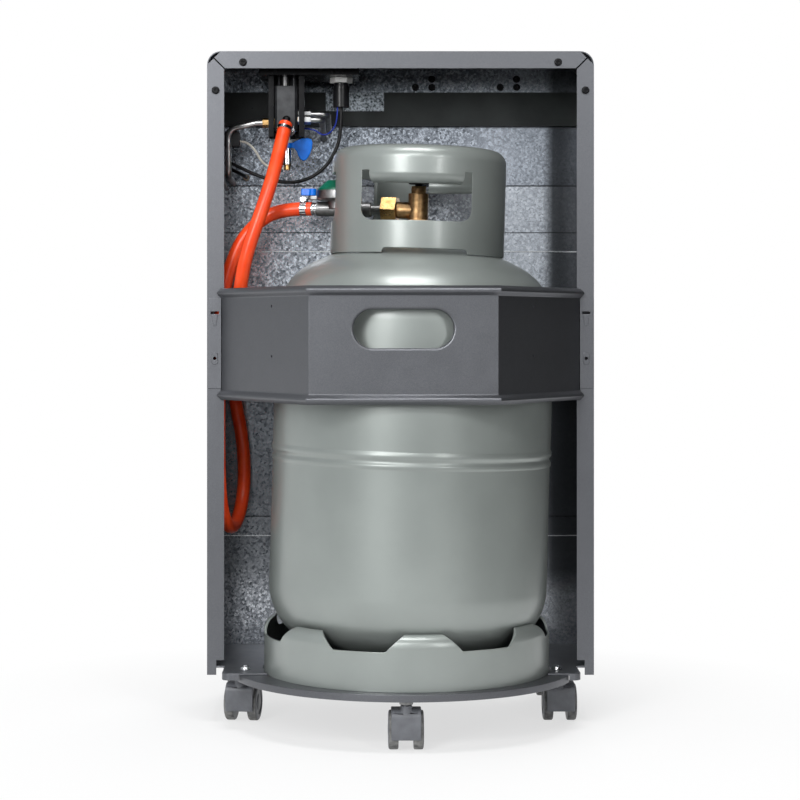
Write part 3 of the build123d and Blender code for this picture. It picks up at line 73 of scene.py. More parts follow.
# %% Camera
PICTURE = 800
FOCAL_PIXELS = 2119.0
AXIS_PIXEL = (361.8, 330.3)
CAMERA_PLACE = at(-0.042, -2.3, 0.427)
camera_data = bpy.data.cameras.new("camera")
camera = bpy.data.objects.new("camera", camera_data)
bpy.context.scene.collection.objects.link(camera)
camera.location = CAMERA_PLACE
camera.rotation_euler = (math.radians(90), 0, 0)
camera_data.sensor_width = 36
camera_data.lens = FOCAL_PIXELS / PICTURE * camera_data.sensor_width
camera_data.shift_x = 0.5 - AXIS_PIXEL[0] / PICTURE
camera_data.shift_y = AXIS_PIXEL[1] / PICTURE - 0.5
camera_data.clip_end = 50
bpy.context.scene.camera = camera
bpy.context.scene.view_settings.view_transform = "Standard"
print("lens", round(camera_data.lens, 1), "mm")

# %% [markdown]
# ## Helpers for finishes
# A finish starts from the Principled shader. Its constant numbers go on the shader's own sockets; what
# varies over the surface comes from a noise or a cell pattern that reads the piece's own coordinates, so
# it stays on the piece when the piece moves.


# %% A finish and its patterns
def new_finish(name, colour, roughness, metallic=0.0, **sockets):
    """A material with its constant values set on the shader's own sockets."""
    finish = bpy.data.materials.new(name)
    finish.use_nodes = True
    shader = finish.node_tree.nodes["Principled BSDF"]
    shader.inputs["Base Color"].default_value = (*colour, 1)
    shader.inputs["Roughness"].default_value = roughness
    shader.inputs["Metallic"].default_value = metallic
    for socket, value in sockets.items():
        shader.inputs[socket.replace("_", " ")].default_value = value
    return finish


def drive(finish, source, socket):
    """Feeds a varying value into one of the shader's sockets."""
    finish.node_tree.links.new(source, finish.node_tree.nodes["Principled BSDF"].inputs[socket])


def place_on(finish, stretch=(1, 1, 1), turn=(0, 0, 0)):
    """The piece's own coordinates, stretched and turned by a Mapping node."""
    tree = finish.node_tree
    coords = tree.nodes.new("ShaderNodeTexCoord")
    mapping = tree.nodes.new("ShaderNodeMapping")
    mapping.inputs["Scale"].default_value = stretch
    mapping.inputs["Rotation"].default_value = turn
    tree.links.new(coords.outputs["Object"], mapping.inputs["Vector"])
    return mapping.outputs["Vector"]


def noise_on(finish, scale, detail=3, roughness=0.5):
    """Fine noise; its scale counts features per metre."""
    tree = finish.node_tree
    noise = tree.nodes.new("ShaderNodeTexNoise")
    noise.inputs["Scale"].default_value = scale
    noise.inputs["Detail"].default_value = detail
    noise.inputs["Roughness"].default_value = roughness
    tree.links.new(place_on(finish), noise.inputs["Vector"])
    return noise.outputs["Fac"]


print("patterns ready")

# %% [markdown]
# A pattern is only a number between 0 and 1. The next helpers do the sums that turn it into a colour, a
# roughness or a border between two areas. They work in any node tree, so the floor and the world use them too.


# %% Sums on a pattern
def axes_of(owner, place):
    """The X, Y and Z of a place, each as a number."""
    parts = owner.node_tree.nodes.new("ShaderNodeSeparateXYZ")
    owner.node_tree.links.new(place, parts.inputs[0])
    return parts.outputs


def range_on(owner, source, low, high, start=0.0, end=1.0):
    """Stretches a number from start..end to low..high."""
    tree = owner.node_tree
    spread = tree.nodes.new("ShaderNodeMapRange")
    for socket, value in (("From Min", start), ("From Max", end), ("To Min", low), ("To Max", high)):
        spread.inputs[socket].default_value = value
    tree.links.new(source, spread.inputs["Value"])
    return spread.outputs["Result"]


def math_on(owner, operation, first, second):
    """One sum of two values, each a number or another node's output."""
    tree = owner.node_tree
    step = tree.nodes.new("ShaderNodeMath")
    step.operation = operation
    for socket, value in zip(step.inputs, (first, second)):
        if isinstance(value, (int, float)):
            socket.default_value = value
        else:
            tree.links.new(value, socket)
    return step.outputs["Value"]


def ramp_on(finish, source, stops):
    """Turns a number into a colour along a list of (position, colour) stops."""
    tree = finish.node_tree
    ramp = tree.nodes.new("ShaderNodeValToRGB")
    elements = ramp.color_ramp.elements
    while len(elements) < len(stops):
        elements.new(0.5)
    for element, (position, colour) in zip(elements, stops):
        element.position = position
        element.color = (*colour, 1)
    tree.links.new(source, ramp.inputs["Fac"])
    return ramp.outputs["Color"]


def mix_on(finish, factor, first, second):
    """Mixes two colours, each a colour or another node's output."""
    tree = finish.node_tree
    mix = tree.nodes.new("ShaderNodeMix")
    mix.data_type = "RGBA"
    tree.links.new(factor, mix.inputs["Factor"])
    for socket, value in ((mix.inputs[6], first), (mix.inputs[7], second)):
        if isinstance(value, tuple):
            socket.default_value = (*value, 1)
        else:
            tree.links.new(value, socket)
    return mix.outputs[2]


print("sums ready")

# %% [markdown]
# Real surfaces are never quite flat either: a little shading relief, a few hundredths of a millimetre deep,
# breaks up the highlights. The last helper dresses a piece in a finish.


# %% Relief, and wearing a finish
def bump_on(finish, height, distance, strength=1.0):
    """Turns a height pattern into shading relief, distance metres deep."""
    tree = finish.node_tree
    bump = tree.nodes.new("ShaderNodeBump")
    bump.inputs["Distance"].default_value = distance
    bump.inputs["Strength"].default_value = strength
    tree.links.new(height, bump.inputs["Height"])
    drive(finish, bump.outputs["Normal"], "Normal")


def wear(piece, finish):
    """Gives a piece, or a CAD node by its name, this finish all over."""
    piece = nodes[piece] if isinstance(piece, str) else piece
    piece.data.materials.clear()
    piece.data.materials.append(finish)


print("finish helpers ready")

# %% [markdown]
# ## The room
# The heater stands in a white studio. The world is plain white where the camera sees it directly. It lights
# the heater by less: softly from the left, hardly at all from the right, which is what gives the folded sheet
# and the bottle their shape. Bright metal shows the room too: white towards the back of the studio, a lit
# wall straight behind the camera, and grey or dark everywhere else.

# %% World
ROOM_TINT = (0.93, 0.97, 1)
LEFT_GLOW, RIGHT_GLOW, WALL_GLOW = 0.5, 0.01, 0.85


def seen_by(owner, mirrored):
    """1 for a ray from the camera or through glass; for one off metal, the mirrored share."""
    path = owner.node_tree.nodes.new("ShaderNodeLightPath").outputs
    direct = math_on(owner, "MAXIMUM", path["Is Camera Ray"], path["Is Transmission Ray"])
    return math_on(owner, "MAXIMUM", direct, math_on(owner, "MULTIPLY", path["Is Glossy Ray"], mirrored))


def mix_shaders(owner, factor, first, second, output):
    """Mixes two shaders by a factor and makes the result the surface."""
    tree = owner.node_tree
    mix, out = tree.nodes.new("ShaderNodeMixShader"), tree.nodes.new(output)
    for source, socket in zip((factor, first.outputs[0], second.outputs[0]), mix.inputs):
        tree.links.new(source, socket)
    tree.links.new(mix.outputs[0], out.inputs["Surface"])


def make_world():
    world = bpy.data.worlds.new("studio")
    bpy.context.scene.world = world
    world.use_nodes = True
    tree = world.node_tree
    tree.nodes.clear()
    white, lit = tree.nodes.new("ShaderNodeBackground"), tree.nodes.new("ShaderNodeBackground")
    white.inputs["Color"].default_value = (1, 1, 1, 1)
    white.inputs["Strength"].default_value = 1.0
    lit.inputs["Color"].default_value = (*ROOM_TINT, 1)
    towards = axes_of(world, tree.nodes.new("ShaderNodeTexCoord").outputs["Generated"])
    side = range_on(world, towards["X"], LEFT_GLOW, RIGHT_GLOW, -0.85, 0.5)
    wall = range_on(world, towards["Y"], 0, WALL_GLOW, -0.93, -0.985)
    back = range_on(world, towards["Y"], 0, 1, 0.7, 0.95)
    glow = math_on(world, "MAXIMUM", math_on(world, "MAXIMUM", side, wall), back)
    tree.links.new(glow, lit.inputs["Strength"])
    mix_shaders(world, seen_by(world, back), lit, white, "ShaderNodeOutputWorld")


make_world()
print("the world glows from", RIGHT_GLOW, "on the right to", LEFT_GLOW, "on the left")

# %% [markdown]
# ## The floor
# The floor is a matt white surface near the castors, so that it takes their shadow, and further out it turns
# into plain white light for the camera. It is a sheet of studio paper that ends a metre in front of the
# heater, and a little less to its right. Past its ends only the camera still sees white.

# %% Floor
FLOOR_SIZE = 30
SHADOW_REACH, WHITE_REACH, WHITE_AT_CASTORS = 0.2, 0.6, 0.65
PAPER_WHITE, BARE_FLOOR = 0.92, 0.03


def make_floor():
    bpy.ops.object.select_all(action="DESELECT")
    bpy.ops.mesh.primitive_plane_add(size=FLOOR_SIZE, location=(0, 0, 0))
    floor = bpy.context.object
    floor.name = "studio_floor"
    paper = bpy.data.materials.new("studio_white")
    paper.use_nodes = True
    tree = paper.node_tree
    tree.nodes.clear()
    matt, glow = tree.nodes.new("ShaderNodeBsdfDiffuse"), tree.nodes.new("ShaderNodeEmission")
    glow.inputs["Strength"].default_value = 1.0
    place = tree.nodes.new("ShaderNodeTexCoord").outputs["Object"]
    along = axes_of(paper, place)
    front = range_on(paper, along["Y"], BARE_FLOOR, PAPER_WHITE, -1.2, -0.8)
    right = range_on(paper, along["X"], BARE_FLOOR, PAPER_WHITE, 1.2, 0.6)
    whiteness = math_on(paper, "MINIMUM", front, right)
    tree.links.new(whiteness, matt.inputs["Color"])
    distance = tree.nodes.new("ShaderNodeVectorMath")
    distance.operation = "LENGTH"
    tree.links.new(place, distance.inputs[0])
    fade = range_on(paper, distance.outputs["Value"], WHITE_AT_CASTORS, 1, SHADOW_REACH, WHITE_REACH)
    plain = math_on(paper, "MULTIPLY", fade, seen_by(paper, whiteness))
    mix_shaders(paper, plain, matt, glow, "ShaderNodeOutputMaterial")
    floor.data.materials.append(paper)


make_floor()
print("the floor is plain white from", WHITE_REACH, "m out")

# %% [markdown]
# ## The lamps
# Two tall soft boxes stand left and right of the camera, the left one wider and stronger, with a dark gap
# between them: they draw the two light bands on the bottle. A small fill and a lamp above soften the
# shadows, and one behind the heater, on the right, lights its front and side.


# %% Lamps
def add_lamp(name, place, target, size, power):
    """A soft rectangular lamp that faces its target."""
    data = bpy.data.lights.new(name, "AREA")
    data.shape = "RECTANGLE"
    data.size, data.size_y = size
    data.energy = power
    lamp = bpy.data.objects.new(name, data)
    lamp.location = place
    lamp.rotation_euler = (Vector(target) - Vector(place)).to_track_quat("-Z", "Y").to_euler()
    bpy.context.scene.collection.objects.link(lamp)


LAMPS = [
    ("key_left", (-1.15, -2.45, 1.2), (0, 0, 0.4), (0.7, 1.3), 40),
    ("key_right", (1.15, -2.45, 1.2), (0, 0, 0.4), (0.28, 1.3), 15),
    ("front_fill", (-0.3, -2.5, 1.85), (0, 0, 0.4), (0.7, 0.5), 14),
    ("top_soft", (-0.05, -0.6, 2.2), (0, 0, 0.45), (0.9, 0.4), 18),
    ("far_side", (0.9, 2.4, 1.4), (0, 0, 0.4), (1.4, 1.6), 30),
]
for lamp in LAMPS:
    add_lamp(*lamp)
print("lamps:", [lamp[0] for lamp in LAMPS])

# %% [markdown]
# ## The gas hose
# One rubber hose runs from the elbow under the controls, down the left side, round a loose loop behind the
# cabinet's flange and up again to the regulator. A ring could be extruded along that route, but a curve keeps
# every bend even. It is one NURBS curve whose control points are the corners of the CAD route, with a round
# bevel for the hose's thickness.

# %% Hose line
HOSE_WIDTH = 0.015
HOSE_POINTS = [
    (-0.1255, 0.022, 0.6535), (-0.1345, -0.001, 0.607), (-0.15, -0.012, 0.556), (-0.167, -0.012, 0.51),
    (-0.175, -0.003, 0.466), (-0.181, 0.033, 0.425), (-0.187, 0.086, 0.39), (-0.188, 0.126, 0.35),
    (-0.179, 0.146, 0.3), (-0.177, 0.146, 0.247), (-0.1831, 0.1063, 0.207), (-0.1918, 0.0502, 0.207),
    (-0.198, 0.0105, 0.247), (-0.1985, 0.012, 0.353), (-0.198, 0.025, 0.455), (-0.1815, 0.033, 0.5155),
    (-0.1585, 0.0335, 0.546), (-0.12876, 0.03048, 0.56095), (-0.09669, 0.02278, 0.56006),
]


def smooth_line(name, points, width):
    """An open NURBS curve through the pull of its control points, with a round section."""
    curve = bpy.data.curves.new(name, "CURVE")
    curve.dimensions = "3D"
    curve.bevel_depth = width / 2
    curve.bevel_resolution = 6
    curve.resolution_u = 16
    curve.use_fill_caps = True
    spline = curve.splines.new("NURBS")
    spline.points.add(len(points) - 1)
    for point, place in zip(spline.points, points):
        point.co = (*at(*place), 1)
    spline.order_u = 3
    spline.use_endpoint_u = True
    piece = bpy.data.objects.new(name, curve)
    bpy.context.scene.collection.objects.link(piece)
    return piece


print("the hose's route has", len(HOSE_POINTS), "points")

# %% [markdown]
# The hose is smooth orange rubber. It is a little glossy, with faint clouds in its colour and patches where
# handling has dulled it.

# %% Hose
hose_finish = new_finish("hose_orange", (0.92, 0.072, 0.013), 0.3)
hose_clouds = noise_on(hose_finish, 60, 4)
hose_shade = ramp_on(hose_finish, hose_clouds, [(0.3, (0.88, 0.056, 0.009)), (0.7, (0.97, 0.088, 0.017))])
drive(hose_finish, hose_shade, "Base Color")
drive(hose_finish, range_on(hose_finish, noise_on(hose_finish, 220, 3), 0.24, 0.4), "Roughness")
bump_on(hose_finish, noise_on(hose_finish, 900, 2), 0.00004, 0.5)

hose = smooth_line("hose", HOSE_POINTS, HOSE_WIDTH)
hose.data.materials.append(hose_finish)
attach(hose, "cabinet")
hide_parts("gas_hose")
print("hose ready,", HOSE_WIDTH, "m thick")

# %% [markdown]
# ## Leads
# Three thin leads cross the space above the bottle: the black ignition cable, the flame sensor's grey lead
# and a short blue earth wire. They are the same kind of smooth line as the hose, only thinner. Each row says
# which CAD part the lead stands for, its slot, thickness, length, colour and roughness, and its route.

# %% Leads
LEADS = {
    "ignition_lead": ("igniter_cable", "cable_rubber", 0.004, 0.272, (0.012, 0.012, 0.013), 0.38, [
        (-0.065, 0.06, 0.675), (-0.065, 0.06, 0.652), (-0.069, 0.062, 0.63), (-0.084, 0.064, 0.606),
        (-0.108, 0.065, 0.5925), (-0.134, 0.065, 0.592), (-0.16, 0.066, 0.6), (-0.184, 0.07, 0.612),
        (-0.197, 0.088, 0.618), (-0.194, 0.114, 0.612), (-0.176, 0.132, 0.604), (-0.176, 0.152, 0.604),
    ]),
    "sensor_lead": ("thermocouple_lead", "lead_sleeve", 0.0026, 0.068, (0.5, 0.48, 0.43), 0.5, [
        (-0.178, 0.066, 0.638), (-0.166, 0.066, 0.638), (-0.148, 0.057, 0.604), (-0.1284, 0.053, 0.607),
    ]),
    "earth_lead": ("earth_wire", "wire_sleeve", 0.0016, 0.061, (0.01, 0.03, 0.3), 0.4, [
        (-0.069, 0.055, 0.675), (-0.069, 0.055, 0.661), (-0.075, 0.053, 0.647), (-0.086, 0.054, 0.643),
        (-0.095, 0.056, 0.651), (-0.1054, 0.056, 0.651),
    ]),
}
for name, (node, slot, width, length, colour, roughness, points) in LEADS.items():
    lead = smooth_line(name, points, width)
    sleeve = new_finish(name + "_sleeve", colour, roughness, Specular_IOR_Level=0.2)
    paler = tuple(min(1, value * 1.35 + 0.004) for value in colour)
    drive(sleeve, ramp_on(sleeve, noise_on(sleeve, 260, 3), [(0.35, colour), (0.7, paler)]), "Base Color")
    bump_on(sleeve, noise_on(sleeve, 1500, 2), 0.00003, 0.5)
    lead.data.materials.append(sleeve)
    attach(lead, "cabinet")
    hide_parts(node)
print("leads:", list(LEADS))

# %% [markdown]
# ## Metallic grey paint
# The cabinet, the band and the shelf wear one metallic grey paint: fine flakes under a satin coat, so it is
# bright where it mirrors a lamp and nearly black where it mirrors the unlit side of the room. One fine noise
# makes the flakes, and slow clouds darken the paint and change its gloss a little.


# %% Metallic grey paint
def grey_paint(name, dark, light, roughness):
    finish = new_finish(name, light, roughness, 0.8, Coat_Weight=0.1, Coat_Roughness=0.3)
    flakes = noise_on(finish, 2600, 1)
    clouds = noise_on(finish, 14, 2)
    base = ramp_on(finish, flakes, [(0.35, dark), (0.65, light)])
    drive(finish, mix_on(finish, math_on(finish, "MULTIPLY", clouds, 0.25), base, dark), "Base Color")
    drive(finish, range_on(finish, noise_on(finish, 60, 2), roughness - 0.05, roughness + 0.07), "Roughness")
    bump_on(finish, noise_on(finish, 700, 2), 0.00004, 0.3)
    return finish


cabinet_paint = grey_paint("cabinet_grey", (0.112, 0.116, 0.127), (0.166, 0.171, 0.185), 0.4)
print("grey paint ready")

# %% [markdown]
# ## Spangled zinc
# The sheets inside are galvanised: zinc freezes in crystals two or three millimetres across, each of which
# mirrors the light its own way, and the sheet is cloudy over a hand's width besides. Its right part is
# calmer. Painted shade darkens it towards the right corner, and a painted shadow of the band darkens it below
# the band; both are weaker from a hand's width above the base plate down. Each pressed rib has a painted
# shadow line above it and a painted highlight line below it, and one more painted shadow line marks where the
# sheets overlap. The cells of a Voronoi pattern are the crystals; a noise bends their borders and feathers them.

# %% Spangled zinc
CRYSTAL = 0.0024
# X over which the sheet turns calmer, and X over which the painted shade of the right corner comes in.
CALM_EDGE, CORNER_SHADE_EDGE = (0.04, 0.13), (0.168, 0.18)
# Z over which the painted shade weakens towards the base plate, and Z over which the band's painted shadow fades
# out.
FOOT_EDGE, BAND_SHADOW_EDGE = (0.118, 0.15), (0.36, 0.42)
CALM_TONE, LINE_HALF = 0.58, 0.0006
# Heights of the painted shadow lines and of the painted highlight lines at the ribs.
SHADOW_LINES, HIGHLIGHT_LINES = (0.5402, 0.2112, 0.5945), (0.5182, 0.1888)


def spangled_zinc(name, darkest, middle, brightest):
    """Zinc crystals: small feathered cells with a grey of their own, on a sheet that is cloudy besides; painted
    shade in the right corner and below the band, and painted shadow and highlight lines at the ribs.
    """
    finish = new_finish(name, middle, 0.22, 0.92)
    tree = finish.node_tree
    crystals = tree.nodes.new("ShaderNodeTexVoronoi")
    crystals.inputs["Scale"].default_value = 1 / CRYSTAL
    warp = tree.nodes.new("ShaderNodeTexNoise")
    warp.inputs["Scale"].default_value = 2 / CRYSTAL
    warp.inputs["Detail"].default_value = 4
    place = place_on(finish)
    tree.links.new(place, warp.inputs["Vector"])
    bend = tree.nodes.new("ShaderNodeVectorMath")
    bend.operation = "MULTIPLY_ADD"
    bend.inputs[1].default_value = (CRYSTAL * 0.9,) * 3
    tree.links.new(warp.outputs["Color"], bend.inputs[0])
    tree.links.new(place, bend.inputs[2])
    tree.links.new(bend.outputs["Vector"], crystals.inputs["Vector"])
    grey = tree.nodes.new("ShaderNodeRGBToBW")
    tree.links.new(crystals.outputs["Color"], grey.inputs["Color"])
    feather = noise_on(finish, 2.2 / CRYSTAL, 4, 0.65)
    clouds = noise_on(finish, 26, 3, 0.6)
    fine = math_on(finish, "ADD", math_on(finish, "MULTIPLY", grey.outputs[0], 0.3),
                   math_on(finish, "MULTIPLY", feather, 0.5))
    rough_tone = math_on(finish, "ADD", fine, math_on(finish, "MULTIPLY", clouds, 0.2))
    along = axes_of(finish, place)
    calm = range_on(finish, along["X"], 0, 0.6, *CALM_EDGE)
    level_out = math_on(finish, "MULTIPLY", calm, math_on(finish, "SUBTRACT", CALM_TONE, rough_tone))
    tone = math_on(finish, "ADD", rough_tone, level_out)
    colour = ramp_on(finish, tone, [(0.36, darkest), (0.5, middle), (0.64, brightest)])
    # Painted shade: the right corner, and the band's shadow below the band, are painted darker, less so near the
    # base plate.
    foot = range_on(finish, along["Z"], 0.3, 1, *FOOT_EDGE)
    corner_shade = range_on(finish, along["X"], 0, 0.85, *CORNER_SHADE_EDGE)
    colour = mix_on(finish, math_on(finish, "MULTIPLY", corner_shade, foot), colour, (0.03, 0.034, 0.038))
    band_shadow = math_on(finish, "MULTIPLY", foot, range_on(finish, along["Z"], 0.55, 0, *BAND_SHADOW_EDGE))
    colour = mix_on(finish, band_shadow, colour, (0.05, 0.056, 0.064))
    # Painted shadow lines above the ribs and at the sheets' overlap; painted highlight lines below the ribs.
    for levels, line in ((SHADOW_LINES, (0.02, 0.022, 0.025)), (HIGHLIGHT_LINES, (0.95, 0.96, 0.98))):
        for height in levels:
            near = math_on(finish, "COMPARE", along["Z"], height)
            near.node.inputs[2].default_value = LINE_HALF
            colour = mix_on(finish, near, colour, line)
    drive(finish, colour, "Base Color")
    drive(finish, range_on(finish, tone, 0.3, 0.18, 0.35, 0.7), "Roughness")
    bump_on(finish, tone, 0.0001, 0.3)
    return finish


zinc = spangled_zinc("spangled_zinc", (0.12, 0.13, 0.148), (0.42, 0.445, 0.49), (0.86, 0.89, 0.94))
# The upper sheet wears a darker copy of the same zinc.
upper_sheet_zinc = spangled_zinc("zinc_of_upper_sheet", (0.06, 0.068, 0.078), (0.27, 0.292, 0.33), (0.68, 0.72, 0.79))
# The top rail's darker copy of the zinc is painted shade: the rail lies in the shadow of the cabinet's top.
dark_zinc = spangled_zinc("shaded_zinc", (0.08, 0.095, 0.105), (0.3, 0.33, 0.37), (0.85, 0.9, 0.95))
print("zinc ready, with crystals of", CRYSTAL, "m")

# %% [markdown]
# ## Bottle paint, brass and the small finishes
# The bottle's grey-green enamel is satin and slightly uneven. Brass fittings are turned bright and have
# darkened a little; plated parts are nearly mirrors; mouldings have a faint grain. All of them drift a
# little between two colours, so one recipe makes them all, each with its own colours, gloss and grain.


# %% Enamel and metals
def mottled(name, dark, light, roughness, metallic, scale, relief=0.00003, relief_scale=800, **sockets):
    """A finish whose colour and gloss drift slightly over the surface."""
    finish = new_finish(name, light, roughness, metallic, **sockets)
    drive(finish, ramp_on(finish, noise_on(finish, scale, 4), [(0.32, dark), (0.68, light)]), "Base Color")
    spread = range_on(finish, noise_on(finish, scale * 2.3, 3), roughness * 0.82, roughness * 1.2)
    drive(finish, spread, "Roughness")
    bump_on(finish, noise_on(finish, relief_scale, 2), relief, 0.5)
    return finish


bottle_paint = mottled("bottle_enamel", (0.262, 0.288, 0.275), (0.31, 0.338, 0.323), 0.4, 0.4, 9, 0.00006, 420,
                       Coat_Weight=0.55, Coat_Roughness=0.2)
brass = mottled("turned_brass", (0.36, 0.2, 0.075), (0.66, 0.42, 0.17), 0.28, 1.0, 140)
cast_brass = mottled("cast_brass", (0.28, 0.155, 0.07), (0.6, 0.39, 0.19), 0.42, 1.0, 190, 0.00015, 1500)
chrome = mottled("bright_plating", (0.55, 0.56, 0.58), (0.78, 0.79, 0.81), 0.16, 1.0, 90)
cast_alloy = mottled("cast_alloy", (0.2, 0.2, 0.2), (0.34, 0.34, 0.34), 0.42, 1.0, 160, 0.00012, 1300)
pipe_alloy = mottled("pipe_alloy", (0.4, 0.4, 0.4), (0.66, 0.66, 0.65), 0.3, 1.0, 120)
black_paint = mottled("black_paint", (0.004, 0.004, 0.005), (0.01, 0.01, 0.011), 0.26, 0.0, 60,
                      Specular_IOR_Level=0.2)
valve_paint = mottled("valve_paint", (0.022, 0.023, 0.026), (0.05, 0.052, 0.056), 0.4, 0.3, 120)
baffle_paint = mottled("baffle_paint", (0.009, 0.012, 0.011), (0.022, 0.027, 0.026), 0.3, 0.0, 34,
                       Specular_IOR_Level=0.35)
black_moulding = mottled("black_moulding", (0.006, 0.006, 0.007), (0.014, 0.014, 0.016), 0.3, 0.0, 90,
                         0.00004, 1600, Specular_IOR_Level=0.3)
castor_moulding = mottled("castor_moulding", (0.105, 0.11, 0.122), (0.15, 0.156, 0.172), 0.42, 0.0, 80,
                          0.00005, 1500)
tyre_moulding = mottled("worn_tread", (0.07, 0.07, 0.072), (0.24, 0.238, 0.23), 0.62, 0.0, 150, 0.0001, 900)
blue_moulding = mottled("blue_moulding", (0.004, 0.14, 0.66), (0.009, 0.22, 0.92), 0.24, 0.0, 90,
                        Specular_IOR_Level=0.35)
green_moulding = mottled("green_moulding", (0.003, 0.11, 0.06), (0.006, 0.17, 0.09), 0.35, 0.0, 90)
white_moulding = mottled("white_moulding", (0.66, 0.66, 0.64), (0.78, 0.78, 0.77), 0.35, 0.0, 120)
mirror_sheet = mottled("polished_sheet", (0.7, 0.7, 0.69), (0.86, 0.86, 0.85), 0.14, 1.0, 40)
print("small finishes ready")

# %% [markdown]
# ## Burner ceramic
# A burner plaque is a cream ceramic tile with thousands of tiny through holes in a honeycomb. The holes are
# 1.2 mm wide, far too many to model, so a cell pattern sinks them and paints them dark, as painted shade.


# %% Burner ceramic
HOLE_PITCH = 0.0026


def burner_ceramic():
    finish = new_finish("burner_ceramic", (0.74, 0.66, 0.55), 0.85)
    tree = finish.node_tree
    cells = tree.nodes.new("ShaderNodeTexVoronoi")
    cells.inputs["Scale"].default_value = 1 / HOLE_PITCH
    cells.inputs["Randomness"].default_value = 0.0
    tree.links.new(place_on(finish, (1, 0.01, 1), (0, math.radians(45), 0)), cells.inputs["Vector"])
    hole = range_on(finish, cells.outputs["Distance"], 0, 1, 0.2, 0.34)
    warm = ramp_on(finish, noise_on(finish, 45, 3), [(0.3, (0.62, 0.52, 0.4)), (0.7, (0.8, 0.73, 0.62))])
    # The dark colour in the holes is painted shade.
    drive(finish, mix_on(finish, hole, (0.05, 0.04, 0.035), warm), "Base Color")
    bump_on(finish, hole, 0.0006, 0.8)
    return finish


ceramic = burner_ceramic()
print("ceramic ready, a hole every", HOLE_PITCH, "m")

# %% [markdown]
# ## A bare patch in the paint
# Near the igniter the black baffle strip has been left unpainted, so its zinc shows. Three narrow borders
# mark the patch, and inside them the paint gives way to metal.

# %% Bare patch
PATCH_LEFT, PATCH_RIGHT, PATCH_BOTTOM, PATCH_BORDER = -0.084, -0.016, 0.68, 0.001


def bare_patch(finish):
    """Lets the zinc below a paint show inside the patch."""
    tree = finish.node_tree
    along = axes_of(finish, place_on(finish))
    left = range_on(finish, along["X"], 0, 1, PATCH_LEFT, PATCH_LEFT + PATCH_BORDER)
    right = range_on(finish, along["X"], 1, 0, PATCH_RIGHT - PATCH_BORDER, PATCH_RIGHT)
    above = range_on(finish, along["Z"], 0, 1, PATCH_BOTTOM, PATCH_BOTTOM + PATCH_BORDER)
    inside = math_on(finish, "MULTIPLY", math_on(finish, "MULTIPLY", left, right), above)
    bare = ramp_on(finish, noise_on(finish, 420, 5, 0.65), [(0.38, (0.04, 0.05, 0.055)), (0.62, (0.6, 0.65, 0.7))])
    painted = tree.nodes["Principled BSDF"].inputs["Base Color"].links[0].from_socket
    drive(finish, mix_on(finish, inside, painted, bare), "Base Color")
    drive(finish, range_on(finish, inside, 0, 0.85), "Metallic")


bare_patch(baffle_paint)
print("the bare patch is", round(PATCH_RIGHT - PATCH_LEFT, 3), "m wide")

# %% [markdown]
# ## Which part wears what
# One table says which finish each CAD part wears. The pieces that are modelled below look up the same table,
# so a piece and the part that it stands for always have the same finish.

# %% Finishes of the parts
FINISHES = {
    "cabinet_shell": cabinet_paint, "black_screws": black_paint, "inner_wall": zinc, "upper_wall": upper_sheet_zinc,
    "air_baffle": baffle_paint, "top_rail": dark_zinc, "cylinder_shelf": cabinet_paint,
    "base_plate": cabinet_paint, "shelf_screws": chrome, "castor_sockets": cast_alloy,
    "retainer_band": cabinet_paint, "cylinder_body": bottle_paint, "cylinder_foot": bottle_paint,
    "cylinder_collar": bottle_paint, "cylinder_valve": cast_brass, "handwheel": black_moulding,
    "regulator_nut": brass, "regulator_body": cast_alloy, "regulator_cap": green_moulding,
    "regulator_lever": blue_moulding, "hose_tail": chrome, "hose_clamps": chrome, "hose_elbow": black_paint,
    "control_tray": black_paint, "valve_bracket": black_paint, "gas_valve": valve_paint,
    "valve_spindle": cast_alloy, "control_knob": black_moulding, "igniter_body": black_moulding,
    "igniter_nut": white_moulding, "igniter_button": black_moulding, "inlet_tap": chrome, "tap_lever": blue_moulding,
    "gas_pipes": pipe_alloy, "pilot_pipe": pipe_alloy, "pipe_nuts": brass, "wall_block": black_moulding,
    "front_panel": cabinet_paint, "front_surround": cabinet_paint, "reflector": mirror_sheet,
    "burner_plenums": zinc, "ceramic_plaques": ceramic, "wire_guard": chrome, "pilot_burner": zinc,
    "spark_electrode": ceramic,
}
for number in range(1, 6):
    FINISHES[f"castor_hood_{number}"] = castor_moulding
    FINISHES[f"castor_wheels_{number}"] = castor_moulding
for node, finish in FINISHES.items():
    wear(node, finish)
CORD_NODES = {"gas_hose", "igniter_cable", "thermocouple_lead", "earth_wire"}
BODY_OF = {node: body for body, members in frame["record"]["behaviour"]["bodies"].items() for node in members}
for node in CORD_NODES:
    wear(node, black_moulding)
print("finished", len(FINISHES), "nodes; without a finish:", sorted(set(nodes) - set(FINISHES) - CORD_NODES))

# %% [markdown]
# ## Modelling helpers
# The pieces below are modelled as by hand: a primitive is added, and then edit mode's own tools extrude,
# spin, turn and scale what is selected. Every tool acts on all that is selected, so each step starts by
# selecting one piece, or some of its points, and nothing else.


# %% Selecting
def alone(piece):
    """Leaves edit mode, then selects this piece and nothing else."""
    if bpy.context.mode != "OBJECT":
        bpy.ops.object.mode_set(mode="OBJECT")
    bpy.ops.object.select_all(action="DESELECT")
    piece.select_set(True)
    bpy.context.view_layer.objects.active = piece
    return piece


def edit(piece):
    alone(piece)
    bpy.ops.object.mode_set(mode="EDIT")
    bpy.ops.mesh.select_all(action="SELECT")


def choose(piece, wanted):
    """Selects the points whose place passes a test, ready for the next tool."""
    edit(piece)
    bpy.ops.mesh.select_mode(type="VERT")
    bpy.ops.mesh.select_all(action="DESELECT")
    bpy.ops.object.mode_set(mode="OBJECT")
    for vertex in piece.data.vertices:
        vertex.select = wanted(vertex.co)
    bpy.ops.object.mode_set(mode="EDIT")


